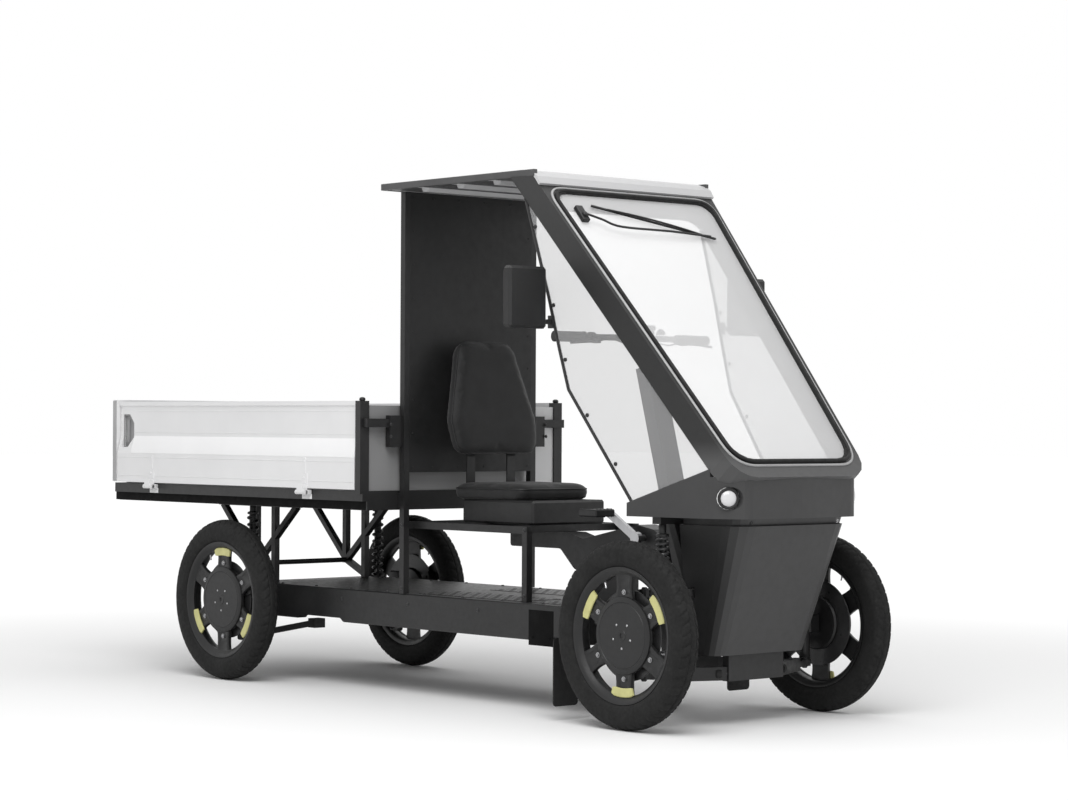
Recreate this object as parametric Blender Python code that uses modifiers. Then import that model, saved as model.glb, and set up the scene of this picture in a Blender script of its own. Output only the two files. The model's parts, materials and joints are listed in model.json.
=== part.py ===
"""Four-wheeled cab-covered cargo bike with a drop-side load bed.

Metres, +Z up, +X forward, +Y to the rider's left. The origin is on the ground, under the
middle of the vehicle's overall length and width.
"""

import bmesh
import bpy
from math import acos, atan2, cos, hypot, radians, sin
from mathutils import Matrix, Vector

# Clearances
GAP = 0.0003
RUNNING_GAP = 0.005
PIN_PLAY = 0.0004

# Running gear
WHEELBASE = 2.286
FRONT_AXLE_X = 1.361
REAR_AXLE_X = FRONT_AXLE_X - WHEELBASE
WHEEL_Y = 0.475
TYRE_RADIUS = 0.315
TYRE_WIDTH = 0.085
RIM_RADIUS = 0.222
RIM_WIDTH = 0.064
RIM_WALL = 0.010
FLANGE_HEIGHT = 0.0065
FLANGE_WIDTH = 0.0035
HUB_COVER_RADIUS = 0.130
HUB_COVER_REACH = 0.026
HUB_DRUM_RADIUS = 0.095
HUB_DRUM_REACH = 0.030
SPOKE_COUNT = 6
SPOKE_WIDTH = 0.078
SPOKE_THICKNESS = 0.016
SPOKE_PHASE = 90.0
STUB_RADIUS = 0.012
WHEEL_STEPS = 28

# Steering
KINGPIN_Y = 0.395
KINGPIN_RADIUS = 0.018
KINGPIN_LOW = 0.190
KINGPIN_HIGH = 0.440
JOINT_HALF = 0.012
STEER_ARM = 0.120
TIE_ROD_Z = 0.232
TIE_ROD_RADIUS = 0.009
EYE_RADIUS = 0.014
EYE_PIN_RADIUS = 0.006
WISHBONE_SPREAD = (-0.170, 0.125)
WISHBONE_WIDTH = 0.022
LOWER_ARM_DEPTH = 0.045
RAIL_Y = 0.110
SUBFRAME_LOW = 0.262
SUBFRAME_HIGH = 0.330
COLUMN_BASE_X = 1.205
COLUMN_BASE_Z = 0.378
COLUMN_RISE = 0.870
COLUMN_WIDTH = 0.080
COLUMN_DEPTH = 0.055
BAR_X = 0.945
BAR_Z = 1.320
BAR_HALF = 0.370
BAR_RADIUS = 0.011
GRIP_RADIUS = 0.017
GRIP_LENGTH = 0.125

# Platform and frame
PLATFORM_REAR_X = REAR_AXLE_X - 0.075
PLATFORM_FRONT_X = 1.005
PLATFORM_HALF = 0.320
PLATFORM_TOP = 0.378
PLATFORM_DEPTH = 0.128
REAR_NOTCH_X = REAR_AXLE_X + 0.045
REAR_NOTCH_HALF = 0.285
DECK_THICKNESS = 0.012
SILL_WIDTH = 0.045
RIB_WIDTH = 0.030
TUBE = 0.026
POST_Y = 0.316
WALL_X = 0.005
WALL_THICKNESS = 0.012
WALL_BOTTOM = 0.831
SEAT_RAIL_Y = 0.265
SEAT_RAIL_Z = 0.634
SEAT_UPRIGHT_X = 0.625
SEAT_TOP = 0.735
SEAT_BOX_REAR = 0.165
SEAT_BACK_THICKNESS = 0.055
SEAT_STRAP = 0.006
TIE_BAR_Z = 1.015

# Cab
ROOF_TOP = 1.902
ROOF_THICKNESS = 0.022
ROOF_REAR_X = -0.010
ROOF_RIB_XS = (0.180, 0.380, 0.580)
SCREEN_TOP = (0.8646, ROOF_TOP - 0.0607)
SCREEN_FOOT = (1.7033, 0.8688)
SCREEN_LENGTH = hypot(SCREEN_FOOT[0] - SCREEN_TOP[0], SCREEN_FOOT[1] - SCREEN_TOP[1])
SCREEN_REST_DEPTH = 0.016
FRAME_DEPTH = 0.085
FRAME_ROUND = 0.100
FRAME_HALF_TOP = 0.430
FRAME_HALF_FOOT = 0.322
FRAME_FLARE = 0.008
FRAME_END = SCREEN_LENGTH + 0.034
PILLAR_WIDTH = 0.044
OPENING_HALF_TOP = FRAME_HALF_TOP - PILLAR_WIDTH - 0.002
OPENING_HALF_FOOT = FRAME_HALF_FOOT - PILLAR_WIDTH + 0.002
OPENING_START = 0.030
OPENING_END = SCREEN_LENGTH - 0.039
OPENING_ROUND_TOP = 0.055
OPENING_ROUND_FOOT = 0.085
GLASS_THICKNESS = 0.005
GLASS_SINK = 0.006
SEAL_WIDTH = 0.016
SEAL_ROUND = 0.010
ROOF_HALF = FRAME_HALF_TOP

# Nose
NOSE_TOP = (1.693, 0.7047)
NOSE_FOOT = (1.526, 0.242)
NOSE_SLOPE = (NOSE_TOP[0] - NOSE_FOOT[0]) / (NOSE_TOP[1] - NOSE_FOOT[1])
NOSE_SHEET = 0.010
NOSE_HALF_TOP = 0.278
NOSE_HALF_FOOT = 0.230
NOSE_ROUND_TOP = 0.080
NOSE_ROUND_FOOT = 0.050
NOSE_BACK_X = 1.405
GROOVE_Z = 0.680
GROOVE_DEPTH = 0.010
TOWER_TOP = NOSE_TOP[1]
TOWER_HALF = FRAME_HALF_FOOT + 0.018
BAND_BACK_X = 1.252
BAND_SIDE_X = 1.610
BAND_FRONT_X = 1.722
BAND_HALF = FRAME_HALF_FOOT + 0.008
BAND_CORNER = 0.265
BAND_WALL = 0.018
BAND_FRONT_Z = 0.843
BAND_EDGE = ((1.280, 0.760), (1.625, 0.878))
LAMP_CENTRE = (1.661, FRAME_HALF_FOOT - 0.019, 0.773)
LAMP_RADIUS = 0.037
LAMP_POCKET = 0.047
LAMP_TURN = 36.0

# Side screens and mirrors
SIDE_HEAD_Z = ROOF_TOP - 0.126
SIDE_START = (0.805, FRAME_HALF_TOP - 0.006)
SIDE_END = (SCREEN_FOOT[0], FRAME_HALF_FOOT - 0.0104)
SIDE_LOW = 0.765
SIDE_HIGH = ROOF_TOP - 0.157
SIDE_BENDS = ((0.815, 1.0), (0.905, 0.703), (0.955, 0.516), (0.995, 0.379), (1.268, 0.0))
SIDE_REAR = [(x, SIDE_LOW + share * (SIDE_HIGH - SIDE_LOW)) for x, share in SIDE_BENDS]
PANE_THICKNESS = 0.004
EDGE_RADIUS = 0.006
MIRROR_Z = SIDE_LOW + 0.614 * (SIDE_HIGH - SIDE_LOW)
MIRROR_INNER = FRAME_HALF_TOP + 0.030
MIRROR_OUTER = FRAME_HALF_TOP + 0.204
MIRROR_HEIGHT = 0.213

# Load bed
BED_REAR_X = -1.700
BED_FRONT_X = -0.036
BED_HALF = 0.493
RAIL_BOTTOM = 0.690
RAIL_TOP = 0.762
RAIL_WALL = 0.045
RAIL_LIP = 0.038
RAIL_INSET = 0.022
BED_FLOOR = 0.012
STRINGER_Y = (0.300, 0.335)
BOARD_TOP = 1.097
BOARD_INNER = BED_HALF - 0.023
BOARD_OUTER = BED_HALF + 0.012
BOARD_UPPER = BED_HALF - 0.006
SHOULDER_LOW = 0.885
SHOULDER_HIGH = 0.955
POST_WIDTH = 0.030
POST_INNER = BED_HALF - 0.030
TAILGATE_THICKNESS = 0.028
HINGE_RADIUS = 0.008
HINGE_OUT = 0.017
HINGE_Z = 0.752
HINGE_LENGTH = 0.036
HINGE_PIN_RADIUS = 0.004
HINGE_XS = (-1.410, -0.375)
TAIL_HINGE_YS = (-0.330, 0.330)
TRUSS_Y = 0.229
TRUSS_KNOT = (-0.130, 0.445)

# Drive
SHOCK_Y = 0.319
SHOCK_LOW = 0.236
CRANK_X = 0.995
CRANK_Z = 0.615
CRANK_LENGTH = 0.165
CRANK_ARM_Y = 0.080
CRANK_LEAN = (-0.140, 0.085)
SPINDLE_RADIUS = 0.012
PEDAL_PIN_RADIUS = 0.0055

BODY = bpy.data.collections.new("cargo_bike")
TOOLS = bpy.data.collections.new("construction")


def clear_scene():
    """Remove whatever the file opened with and link the two collections."""
    for obj in list(bpy.data.objects):
        bpy.data.objects.remove(obj, do_unlink=True)
    for collection in (BODY, TOOLS):
        bpy.context.scene.collection.children.link(collection)


def material(name, colour, roughness, metallic=0.0, alpha=1.0):
    """A Principled material in linear colour."""
    made = bpy.data.materials.new(name)
    made.use_nodes = True
    shader = made.node_tree.nodes["Principled BSDF"]
    shader.inputs["Base Color"].default_value = (*colour, 1.0)
    shader.inputs["Roughness"].default_value = roughness
    shader.inputs["Metallic"].default_value = metallic
    shader.inputs["Alpha"].default_value = alpha
    made.diffuse_color = (*colour, alpha)
    return made


def tool(mesh, matrix=Matrix()):
    """An object that only shapes others, kept in the construction collection."""
    obj = bpy.data.objects.new("tool", mesh)
    obj.matrix_world = matrix
    obj.hide_render = True
    obj.display_type = "WIRE"
    TOOLS.objects.link(obj)
    return obj


def from_bmesh(bm):
    """Close a bmesh with outward faces and hand it over as a tool."""
    bmesh.ops.recalc_face_normals(bm, faces=bm.faces)
    if bm.calc_volume(signed=True) < 0.0:
        bmesh.ops.reverse_faces(bm, faces=bm.faces)
    mesh = bpy.data.meshes.new("tool")
    bm.to_mesh(mesh)
    bm.free()
    return tool(mesh)


def block(low, high, edge=0.0):
    """A box between two corners, its edges bevelled by edge."""
    low, high = Vector(low), Vector(high)
    low, high = Vector(map(min, low, high)), Vector(map(max, low, high))
    place = Matrix.Translation((low + high) / 2) @ Matrix.Diagonal((*(high - low), 1.0))
    bm = bmesh.new()
    bmesh.ops.create_cube(bm, size=1.0, matrix=place)
    if edge:
        bmesh.ops.bevel(bm, geom=bm.edges[:], offset=edge, segments=1, affect="EDGES")
    return from_bmesh(bm)


def facing(start, end, side=Vector((0, 1, 0))):
    """A matrix at the middle of start and end: Z along them, X near the side direction."""
    start, end = Vector(start), Vector(end)
    along = (end - start).normalized()
    across = (side - along * side.dot(along)).normalized()
    turned = Matrix((across, along.cross(across), along)).transposed().to_4x4()
    return Matrix.Translation((start + end) / 2) @ turned


def bar(start, end, width, depth):
    """A rectangular bar: width is measured near Y, depth across it."""
    length = (Vector(end) - Vector(start)).length
    bm = bmesh.new()
    size = Matrix.Diagonal((width, depth, length, 1.0))
    bmesh.ops.create_cube(bm, size=1.0, matrix=facing(start, end) @ size)
    return from_bmesh(bm)


def rod(start, end, radius, sides=12, end_radius=None):
    """A round bar, or a cone where end_radius differs."""
    length = (Vector(end) - Vector(start)).length
    along = (Vector(end) - Vector(start)).normalized()
    side = Vector((1, 0, 0)) if abs(along.y) > 0.9 else Vector((0, 1, 0))
    bm = bmesh.new()
    bmesh.ops.create_cone(
        bm, cap_ends=True, segments=sides, radius1=radius,
        radius2=radius if end_radius is None else end_radius,
        depth=length, matrix=facing(start, end, side),
    )
    return from_bmesh(bm)


def evaluated(obj):
    """Turn a curve or a modified object into a plain welded tool mesh."""
    bpy.context.view_layer.update()
    graph = bpy.context.evaluated_depsgraph_get()
    mesh = bpy.data.meshes.new_from_object(obj.evaluated_get(graph), depsgraph=graph)
    bm = bmesh.new()
    bm.from_mesh(mesh)
    bmesh.ops.remove_doubles(bm, verts=bm.verts, dist=0.00002)
    bm.transform(obj.matrix_world)
    bpy.data.objects.remove(obj, do_unlink=True)
    return from_bmesh(bm)


def pipe(points, radius, sides=8, cyclic=False):
    """A round tube along a path."""
    curve = bpy.data.curves.new("path", "CURVE")
    curve.dimensions = "3D"
    curve.bevel_depth = radius
    curve.bevel_resolution = sides // 2 - 2
    curve.use_fill_caps = True
    spline = curve.splines.new("POLY")
    spline.points.add(len(points) - 1)
    for knot, point in zip(spline.points, points):
        knot.co = (*point, 1.0)
    spline.use_cyclic_u = cyclic
    obj = bpy.data.objects.new("path", curve)
    TOOLS.objects.link(obj)
    return evaluated(obj)


def plate(outlines, thickness, origin, across, up):
    """A flat sheet: 2D outlines, the first outside and the others holes, in the plane of
    across and up, centred on that plane."""
    curve = bpy.data.curves.new("outline", "CURVE")
    curve.dimensions = "2D"
    curve.fill_mode = "BOTH"
    curve.extrude = thickness / 2
    for outline in outlines:
        spline = curve.splines.new("POLY")
        spline.points.add(len(outline) - 1)
        for knot, (u, v) in zip(spline.points, outline):
            knot.co = (u, v, 0.0, 1.0)
        spline.use_cyclic_u = True
    obj = bpy.data.objects.new("outline", curve)
    across, up = Vector(across), Vector(up)
    turned = Matrix((across, up, across.cross(up))).transposed().to_4x4()
    obj.matrix_world = Matrix.Translation(origin) @ turned
    TOOLS.objects.link(obj)
    return evaluated(obj)


def slab(outline, axis, low, high):
    """An outline swept straight between two values of one axis. It is given in the other
    two axes, in X, Y, Z order."""
    middle = (low + high) / 2
    if axis == "x":
        return plate([outline], high - low, (middle, 0, 0), (0, 1, 0), (0, 0, 1))
    if axis == "y":
        return plate([outline], high - low, (0, middle, 0), (1, 0, 0), (0, 0, 1))
    return plate([outline], high - low, (0, 0, middle), (1, 0, 0), (0, 1, 0))


def loft(sections):
    """A solid through closed loops of 3D points, all with the same number of points."""
    bm = bmesh.new()
    loops = []
    for section in sections:
        knots = [bm.verts.new(point) for point in section]
        loops.append([bm.edges.new(pair) for pair in zip(knots, knots[1:] + knots[:1])])
    for first, second in zip(loops, loops[1:]):
        bmesh.ops.bridge_loops(bm, edges=first + second)
    for end in (loops[0], loops[-1]):
        bmesh.ops.contextual_create(bm, geom=end)
    return from_bmesh(bm)


def rounded(corners, radii, steps=4):
    """A polygon with each corner replaced by an arc of its radius."""
    count = len(corners)
    if not hasattr(radii, "__len__"):
        radii = [radii] * count
    points = []
    for index, radius in enumerate(radii):
        here = Vector(corners[index])
        before = (Vector(corners[index - 1]) - here).normalized()
        after = (Vector(corners[(index + 1) % count]) - here).normalized()
        if radius <= 0.0:
            points.append(tuple(here))
            continue
        half = acos(max(-1.0, min(1.0, before.dot(after)))) / 2
        centre = here + (before + after).normalized() * (radius / sin(half))
        start = here + before * (radius * cos(half) / sin(half)) - centre
        end = here + after * (radius * cos(half) / sin(half)) - centre
        turn = start.angle_signed(end)
        for step in range(steps + 1):
            spin = Matrix.Rotation(-turn * step / steps, 2)
            points.append(tuple(centre + spin @ start))
    return points


def turned(profile, centre, axis, steps, closed=True):
    """A profile of (radius, height) turned about an axis through centre. A closed profile
    makes a ring, and an open one starts and ends on the axis."""
    mesh = bpy.data.meshes.new("profile")
    count = len(profile)
    edges = [(i, i + 1) for i in range(count - 1)] + ([(count - 1, 0)] if closed else [])
    mesh.from_pydata([(r, 0.0, h) for r, h in profile], edges, [])
    obj = bpy.data.objects.new("profile", mesh)
    screw = obj.modifiers.new("turn", "SCREW")
    screw.axis = "Z"
    screw.steps = steps
    screw.render_steps = steps
    screw.use_merge_vertices = True
    screw.merge_threshold = 0.00005
    axis = Vector(axis).normalized()
    side = Vector((1, 0, 0)) if abs(axis.x) < 0.9 else Vector((0, 1, 0))
    side = (side - axis * side.dot(axis)).normalized()
    turn = Matrix((side, axis.cross(side), axis)).transposed().to_4x4()
    obj.matrix_world = Matrix.Translation(centre) @ turn
    TOOLS.objects.link(obj)
    return evaluated(obj)


def settle(obj, tools):
    """Keep an object's evaluated shape as its mesh, and drop its modifiers and tools."""
    bpy.context.view_layer.update()
    graph = bpy.context.evaluated_depsgraph_get()
    mesh = bpy.data.meshes.new_from_object(obj.evaluated_get(graph), depsgraph=graph)
    obj.modifiers.clear()
    obj.data = mesh
    for item in tools:
        group = item.users_collection[0]
        bpy.data.objects.remove(item, do_unlink=True)
        if group is not TOOLS and not group.objects:
            bpy.data.collections.remove(group)


def operate(obj, tools, operation):
    """Add one exact Boolean for a list of tools."""
    group = bpy.data.collections.new(obj.name + "_" + operation.lower())
    TOOLS.children.link(group)
    for item in tools:
        group.objects.link(item)
        TOOLS.objects.unlink(item)
        item.name = obj.name + "_" + operation.lower()
    step = obj.modifiers.new(operation.lower(), "BOOLEAN")
    step.operation = operation
    step.operand_type = "COLLECTION"
    step.collection = group
    step.solver = "EXACT"


def part(name, finish, pieces, cuts=(), smooth=0.0):
    """One named sub-part: the pieces are fused into one solid and the cuts taken out."""
    obj = pieces[0]
    tools = list(pieces[1:]) + list(cuts)
    TOOLS.objects.unlink(obj)
    BODY.objects.link(obj)
    obj.name = name
    obj.hide_render = False
    obj.display_type = "TEXTURED"
    if len(pieces) > 1:
        operate(obj, pieces[1:], "UNION")
    for cut in cuts:
        operate(obj, [cut], "DIFFERENCE")
    if tools:
        settle(obj, tools)
    obj.data.name = name
    obj.data.materials.clear()
    obj.data.materials.append(finish)
    if smooth:
        obj.data.shade_smooth()
        obj.data.set_sharp_from_angle(angle=radians(smooth))
    return obj


def on_axis(obj, pivot, holder):
    """Give a moving piece its origin on its joint's axis, under an empty there."""
    pivot = Vector(pivot)
    obj.data.transform(Matrix.Translation(-pivot))
    obj.location = pivot
    bpy.context.view_layer.update()
    obj.parent = holder
    obj.matrix_parent_inverse = holder.matrix_world.inverted()


def joint_empty(name, pivot, parent=None):
    """An empty that marks a joint."""
    empty = bpy.data.objects.new(name, None)
    empty.empty_display_size = 0.05
    BODY.objects.link(empty)
    empty.location = pivot
    bpy.context.view_layer.update()
    if parent:
        empty.parent = parent
        empty.matrix_parent_inverse = parent.matrix_world.inverted()
    bpy.context.view_layer.update()
    return empty


def side_name(side):
    """The vehicle's side in words: +1 is the rider's left."""
    return "left" if side > 0 else "right"


# Materials

def paints():
    """The finishes of the whole vehicle."""
    return {
        "black_paint": material("black_paint", (0.030, 0.030, 0.032), 0.45, 0.2),
        "dark_panel": material("dark_panel", (0.045, 0.045, 0.047), 0.50),
        "wall": material("wall", (0.012, 0.012, 0.013), 0.60),
        "light_panel": material("light_panel", (0.62, 0.62, 0.63), 0.45),
        "board": material("board", (0.60, 0.61, 0.62), 0.35, 0.9),
        "glass": material("glass", (0.85, 0.87, 0.88), 0.05, 0.0, 0.35),
        "side_glass": material("side_glass", (0.80, 0.82, 0.83), 0.08, 0.0, 0.30),
        "rubber": material("rubber", (0.010, 0.010, 0.010), 0.85),
        "tyre": material("tyre", (0.018, 0.018, 0.018), 0.80),
        "rim": material("rim", (0.020, 0.020, 0.022), 0.45, 0.2),
        "seat": material("seat", (0.022, 0.022, 0.023), 0.65),
        "plastic": material("plastic", (0.018, 0.018, 0.019), 0.50),
        "lamp": material("lamp", (0.85, 0.85, 0.85), 0.15),
        "red_lamp": material("red_lamp", (0.30, 0.01, 0.01), 0.25),
        "steel": material("steel", (0.45, 0.45, 0.46), 0.35, 1.0),
        "mirror": material("mirror", (0.80, 0.80, 0.80), 0.03, 1.0),
    }


# Running gear

def rim_profile():
    """Half section of the wheel disc, with the outer side at +height."""
    half = RIM_WIDTH / 2
    lip = RIM_RADIUS + FLANGE_HEIGHT
    inside = RIM_RADIUS - RIM_WALL
    face = HUB_COVER_REACH - 0.010
    back = face - SPOKE_THICKNESS
    return [
        (0.0, HUB_COVER_REACH), (HUB_COVER_RADIUS - 0.007, HUB_COVER_REACH), (HUB_COVER_RADIUS, face),
        (inside - 0.006, face + 0.002), (inside, half), (lip, half),
        (lip, half - FLANGE_WIDTH), (RIM_RADIUS, half - FLANGE_WIDTH - 0.001),
        (RIM_RADIUS, FLANGE_WIDTH + 0.001 - half), (lip, FLANGE_WIDTH - half), (lip, -half),
        (inside, -half), (inside, back), (HUB_DRUM_RADIUS, back),
        (HUB_DRUM_RADIUS, -HUB_DRUM_REACH), (STUB_RADIUS + PIN_PLAY, -HUB_DRUM_REACH),
        (STUB_RADIUS + PIN_PLAY, -GAP), (0.0, -GAP),
    ]


def tyre_profile():
    """Full section of the tyre around the rim's bead seat."""
    half = TYRE_WIDTH / 2
    seat = RIM_WIDTH / 2 - FLANGE_WIDTH - 0.0015
    lip = RIM_RADIUS + FLANGE_HEIGHT
    upper = [
        (RIM_RADIUS + GAP, seat), (lip + 0.0005, seat + 0.001), (lip + 0.003, half - 0.006),
        (lip + 0.026, half), (TYRE_RADIUS - 0.026, half - 0.001),
        (TYRE_RADIUS - 0.008, half - 0.012), (TYRE_RADIUS, half - 0.032),
    ]
    return upper + [(r, -h) for r, h in reversed(upper)]


def spoke_windows(centre, side):
    """The six openings between the spokes, as cutters along Y."""
    inner = HUB_COVER_RADIUS + 0.006
    outer = RIM_RADIUS - RIM_WALL - 0.004
    cutters = []
    for index in range(SPOKE_COUNT):
        middle = radians(SPOKE_PHASE + 360.0 / SPOKE_COUNT * (index + 0.5))
        reach = radians(180.0 / SPOKE_COUNT)
        outline = []
        for radius, order in ((outer, 1), (inner, -1)):
            half = reach - SPOKE_WIDTH / 2 / radius
            for step in range(3):
                angle = middle + order * half * (step - 1)
                outline.append((centre[0] + radius * cos(angle), centre[2] + radius * sin(angle)))
        cutters.append(slab(outline, "y", centre[1] - 0.03, centre[1] + 0.03))
    return cutters


def wheel(end, side, x, finish, holder=None):
    """A rim with its tyre, on the axle line at x."""
    name = end + "_" + side_name(side)
    centre = (x, side * WHEEL_Y, TYRE_RADIUS)
    rim = turned(rim_profile(), centre, (0, side, 0), WHEEL_STEPS, closed=False)
    rim = part("rim_" + name, finish["rim"], [rim], spoke_windows(centre, side), smooth=35)
    ring = turned(tyre_profile(), centre, (0, side, 0), WHEEL_STEPS)
    ring = part("tyre_" + name, finish["tyre"], [ring], smooth=35)
    hub = joint_empty("axle_" + name, centre, holder)
    for obj in (rim, ring):
        on_axis(obj, centre, hub)


def knuckle(side, finish):
    """The steered upright with its stub axle, steering arm and tie-rod pin."""
    y = side * KINGPIN_Y
    x = FRONT_AXLE_X
    hub_face = side * (WHEEL_Y - HUB_DRUM_REACH)
    stub_end = side * (WHEEL_Y - 2 * GAP)
    arm_x = x - STEER_ARM
    arm_low, arm_high = TIE_ROD_Z + 0.012, TIE_ROD_Z + 0.026
    pieces = [
        rod((x, y, KINGPIN_LOW), (x, y, KINGPIN_HIGH), KINGPIN_RADIUS, 12),
        rod((x, y + side * 0.006, TYRE_RADIUS), (x, stub_end, TYRE_RADIUS), STUB_RADIUS, 12),
        block((x - 0.028, y - 0.004, TYRE_RADIUS - 0.034),
              (x + 0.028, hub_face - side * 0.001, TYRE_RADIUS + 0.034), 0.006),
        block((arm_x, y - 0.010, arm_low), (x, y + 0.010, arm_high)),
        rod((arm_x, y, TIE_ROD_Z - 0.010), (arm_x, y, TIE_ROD_Z + 0.020), EYE_PIN_RADIUS, 12),
        rod((arm_x, y, arm_low - 0.0015), (arm_x, y, arm_high + 0.002), EYE_RADIUS, 12),
    ]
    upright = part("knuckle_" + side_name(side), finish["black_paint"], pieces, smooth=35)
    kingpin = joint_empty("kingpin_" + side_name(side), (x, y, TYRE_RADIUS))
    on_axis(upright, kingpin.location, kingpin)
    return kingpin


def tie_rod(finish, kingpin):
    """The rod between the steering arms, with an eye at each end."""
    x = FRONT_AXLE_X - STEER_ARM
    z = TIE_ROD_Z
    pieces = [rod((x, -KINGPIN_Y, z), (x, KINGPIN_Y, z), TIE_ROD_RADIUS, 12)]
    cuts = []
    for side in (-1, 1):
        y = side * KINGPIN_Y
        pieces.append(rod((x, y, z - 0.009), (x, y, z + 0.009), EYE_RADIUS, 16))
        cuts.append(rod((x, y, z - 0.03), (x, y, z + 0.03), EYE_PIN_RADIUS + PIN_PLAY, 12))
    link = part("tie_rod", finish["steel"], pieces, cuts, smooth=35)
    eye = joint_empty("tie_rod_eye", (x, KINGPIN_Y, z), kingpin)
    on_axis(link, (x, KINGPIN_Y, z), eye)


def wishbone(side, z, outer, inner):
    """Two arms from the sub-frame to a kingpin bearing. The depth changes part of the way out."""
    tip = Vector((FRONT_AXLE_X, side * KINGPIN_Y, z))
    pieces = [rod(tip - Vector((0, 0, JOINT_HALF)), tip + Vector((0, 0, JOINT_HALF)), 0.022, 12)]
    for dx in WISHBONE_SPREAD:
        foot = Vector((FRONT_AXLE_X + dx, side * 0.120, z))
        pieces.append(bar(foot, tip, WISHBONE_WIDTH, outer))
        if inner > outer:
            pieces.append(bar(foot, foot.lerp(tip, 0.72), WISHBONE_WIDTH + 0.002, inner))
    return pieces


def front_subframe(finish):
    """Rails ahead of the platform, the wishbones and the cross-members that carry the nose."""
    low, high = SUBFRAME_LOW, SUBFRAME_HIGH
    outer, inner = RAIL_Y + 0.022, RAIL_Y - 0.022
    front = nose_front(low) - NOSE_SHEET - GAP
    axle = FRONT_AXLE_X
    pieces = [block((PLATFORM_FRONT_X + GAP, -outer, low), (front, outer, high))]
    cuts = [
        block((PLATFORM_FRONT_X + 0.05, -inner, low - 0.05), (axle - 0.19, inner, high + 0.05)),
        block((axle - 0.09, -inner, low - 0.05), (axle + 0.10, inner, high + 0.05)),
    ]
    for side in (-1, 1):
        pieces += wishbone(side, KINGPIN_LOW - JOINT_HALF - GAP, WISHBONE_WIDTH, LOWER_ARM_DEPTH)
        pieces += wishbone(side, KINGPIN_HIGH + JOINT_HALF + GAP, WISHBONE_WIDTH, WISHBONE_WIDTH)
        foot = (axle, side * 0.122, high - 0.01)
        pieces.append(bar(foot, (axle, side * 0.262, TOWER_TOP - 0.012), 0.024, 0.030))
    for dx in WISHBONE_SPREAD:
        x = axle + dx
        pieces.append(block((x - 0.014, -0.134, KINGPIN_LOW - 0.038), (x + 0.014, 0.134, low + 0.01)))
        for side in (-1, 1):
            pieces.append(block((x - 0.014, side * 0.100, high - 0.01),
                                (x + 0.014, side * 0.134, KINGPIN_HIGH + 0.026)))
    pieces.append(block((front - 0.040, -0.160, low), (front, 0.160, low + 0.030)))
    pieces.append(block((axle - 0.020, -TOWER_HALF, TOWER_TOP - 0.024),
                        (axle + 0.020, TOWER_HALF, TOWER_TOP)))
    return part("front_subframe", finish["black_paint"], pieces, cuts)


def rear_carrier(side, finish):
    """The rear wheel's carrier with its stub axle and lower arm, fixed to the platform."""
    x, y = REAR_AXLE_X, side * 0.388
    under = PLATFORM_TOP - PLATFORM_DEPTH - GAP
    pieces = [
        block((x - 0.030, y - 0.015, 0.150), (x + 0.030, y + 0.015, 0.400), 0.006),
        rod((x, y, TYRE_RADIUS), (x, side * (WHEEL_Y - 2 * GAP), TYRE_RADIUS), STUB_RADIUS, 12),
        rod((x, y + side * 0.004, TYRE_RADIUS),
            (x, side * (WHEEL_Y - HUB_DRUM_REACH - 0.001), TYRE_RADIUS), 0.024, 12),
    ]
    for foot_x in (x - 0.050, x + 0.320):
        foot = (foot_x, side * 0.270, under - 0.016)
        pieces.append(bar(foot, (x, y, 0.165), 0.022, 0.022))
        pieces.append(block((foot_x - 0.022, side * 0.245, under - 0.036),
                            (foot_x + 0.022, side * 0.295, under)))
    pieces.append(block((x - 0.064, side * (SHOCK_Y - 0.020), 0.182), (x - 0.016, y, SHOCK_LOW)))
    return part("rear_carrier_" + side_name(side), finish["black_paint"], pieces)


def rear_shock(side, finish):
    """A coil-over damper between the rear carrier and the bed frame."""
    x, y = REAR_AXLE_X - 0.040, side * SHOCK_Y
    low, high = SHOCK_LOW + GAP, RAIL_BOTTOM - GAP
    body = coil_over(low, high, (x, y, 0), 6)
    return part("rear_shock_" + side_name(side), finish["steel"], [body], smooth=35)


def front_shock(side, finish):
    """A coil-over damper between the upper arm and the tower in the nose."""
    low = KINGPIN_HIGH + JOINT_HALF + WISHBONE_WIDTH / 2 + 2 * GAP
    body = coil_over(low, TOWER_TOP - 0.024 - GAP, (FRONT_AXLE_X, side * 0.312, 0), 4)
    return part("front_shock_" + side_name(side), finish["steel"], [body], smooth=35)


def coil_over(low, high, centre, coils):
    """A damper with its spring, turned about a vertical line."""
    profile = [(0.0, high), (0.013, high), (0.013, high - 0.030), (0.024, high - 0.031),
               (0.024, high - 0.038)]
    top, bottom = high - 0.040, low + 0.28 * (high - low)
    pitch = (top - bottom) / coils
    for index in range(coils):
        profile += [(0.015, top - pitch * index), (0.023, top - pitch * (index + 0.5))]
    profile += [(0.015, bottom), (0.024, bottom - 0.002), (0.024, bottom - 0.010), (0.015, bottom - 0.011),
                (0.015, low), (0.0, low)]
    return turned(profile, centre, (0, 0, 1), 8, closed=False)


# Frame

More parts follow.
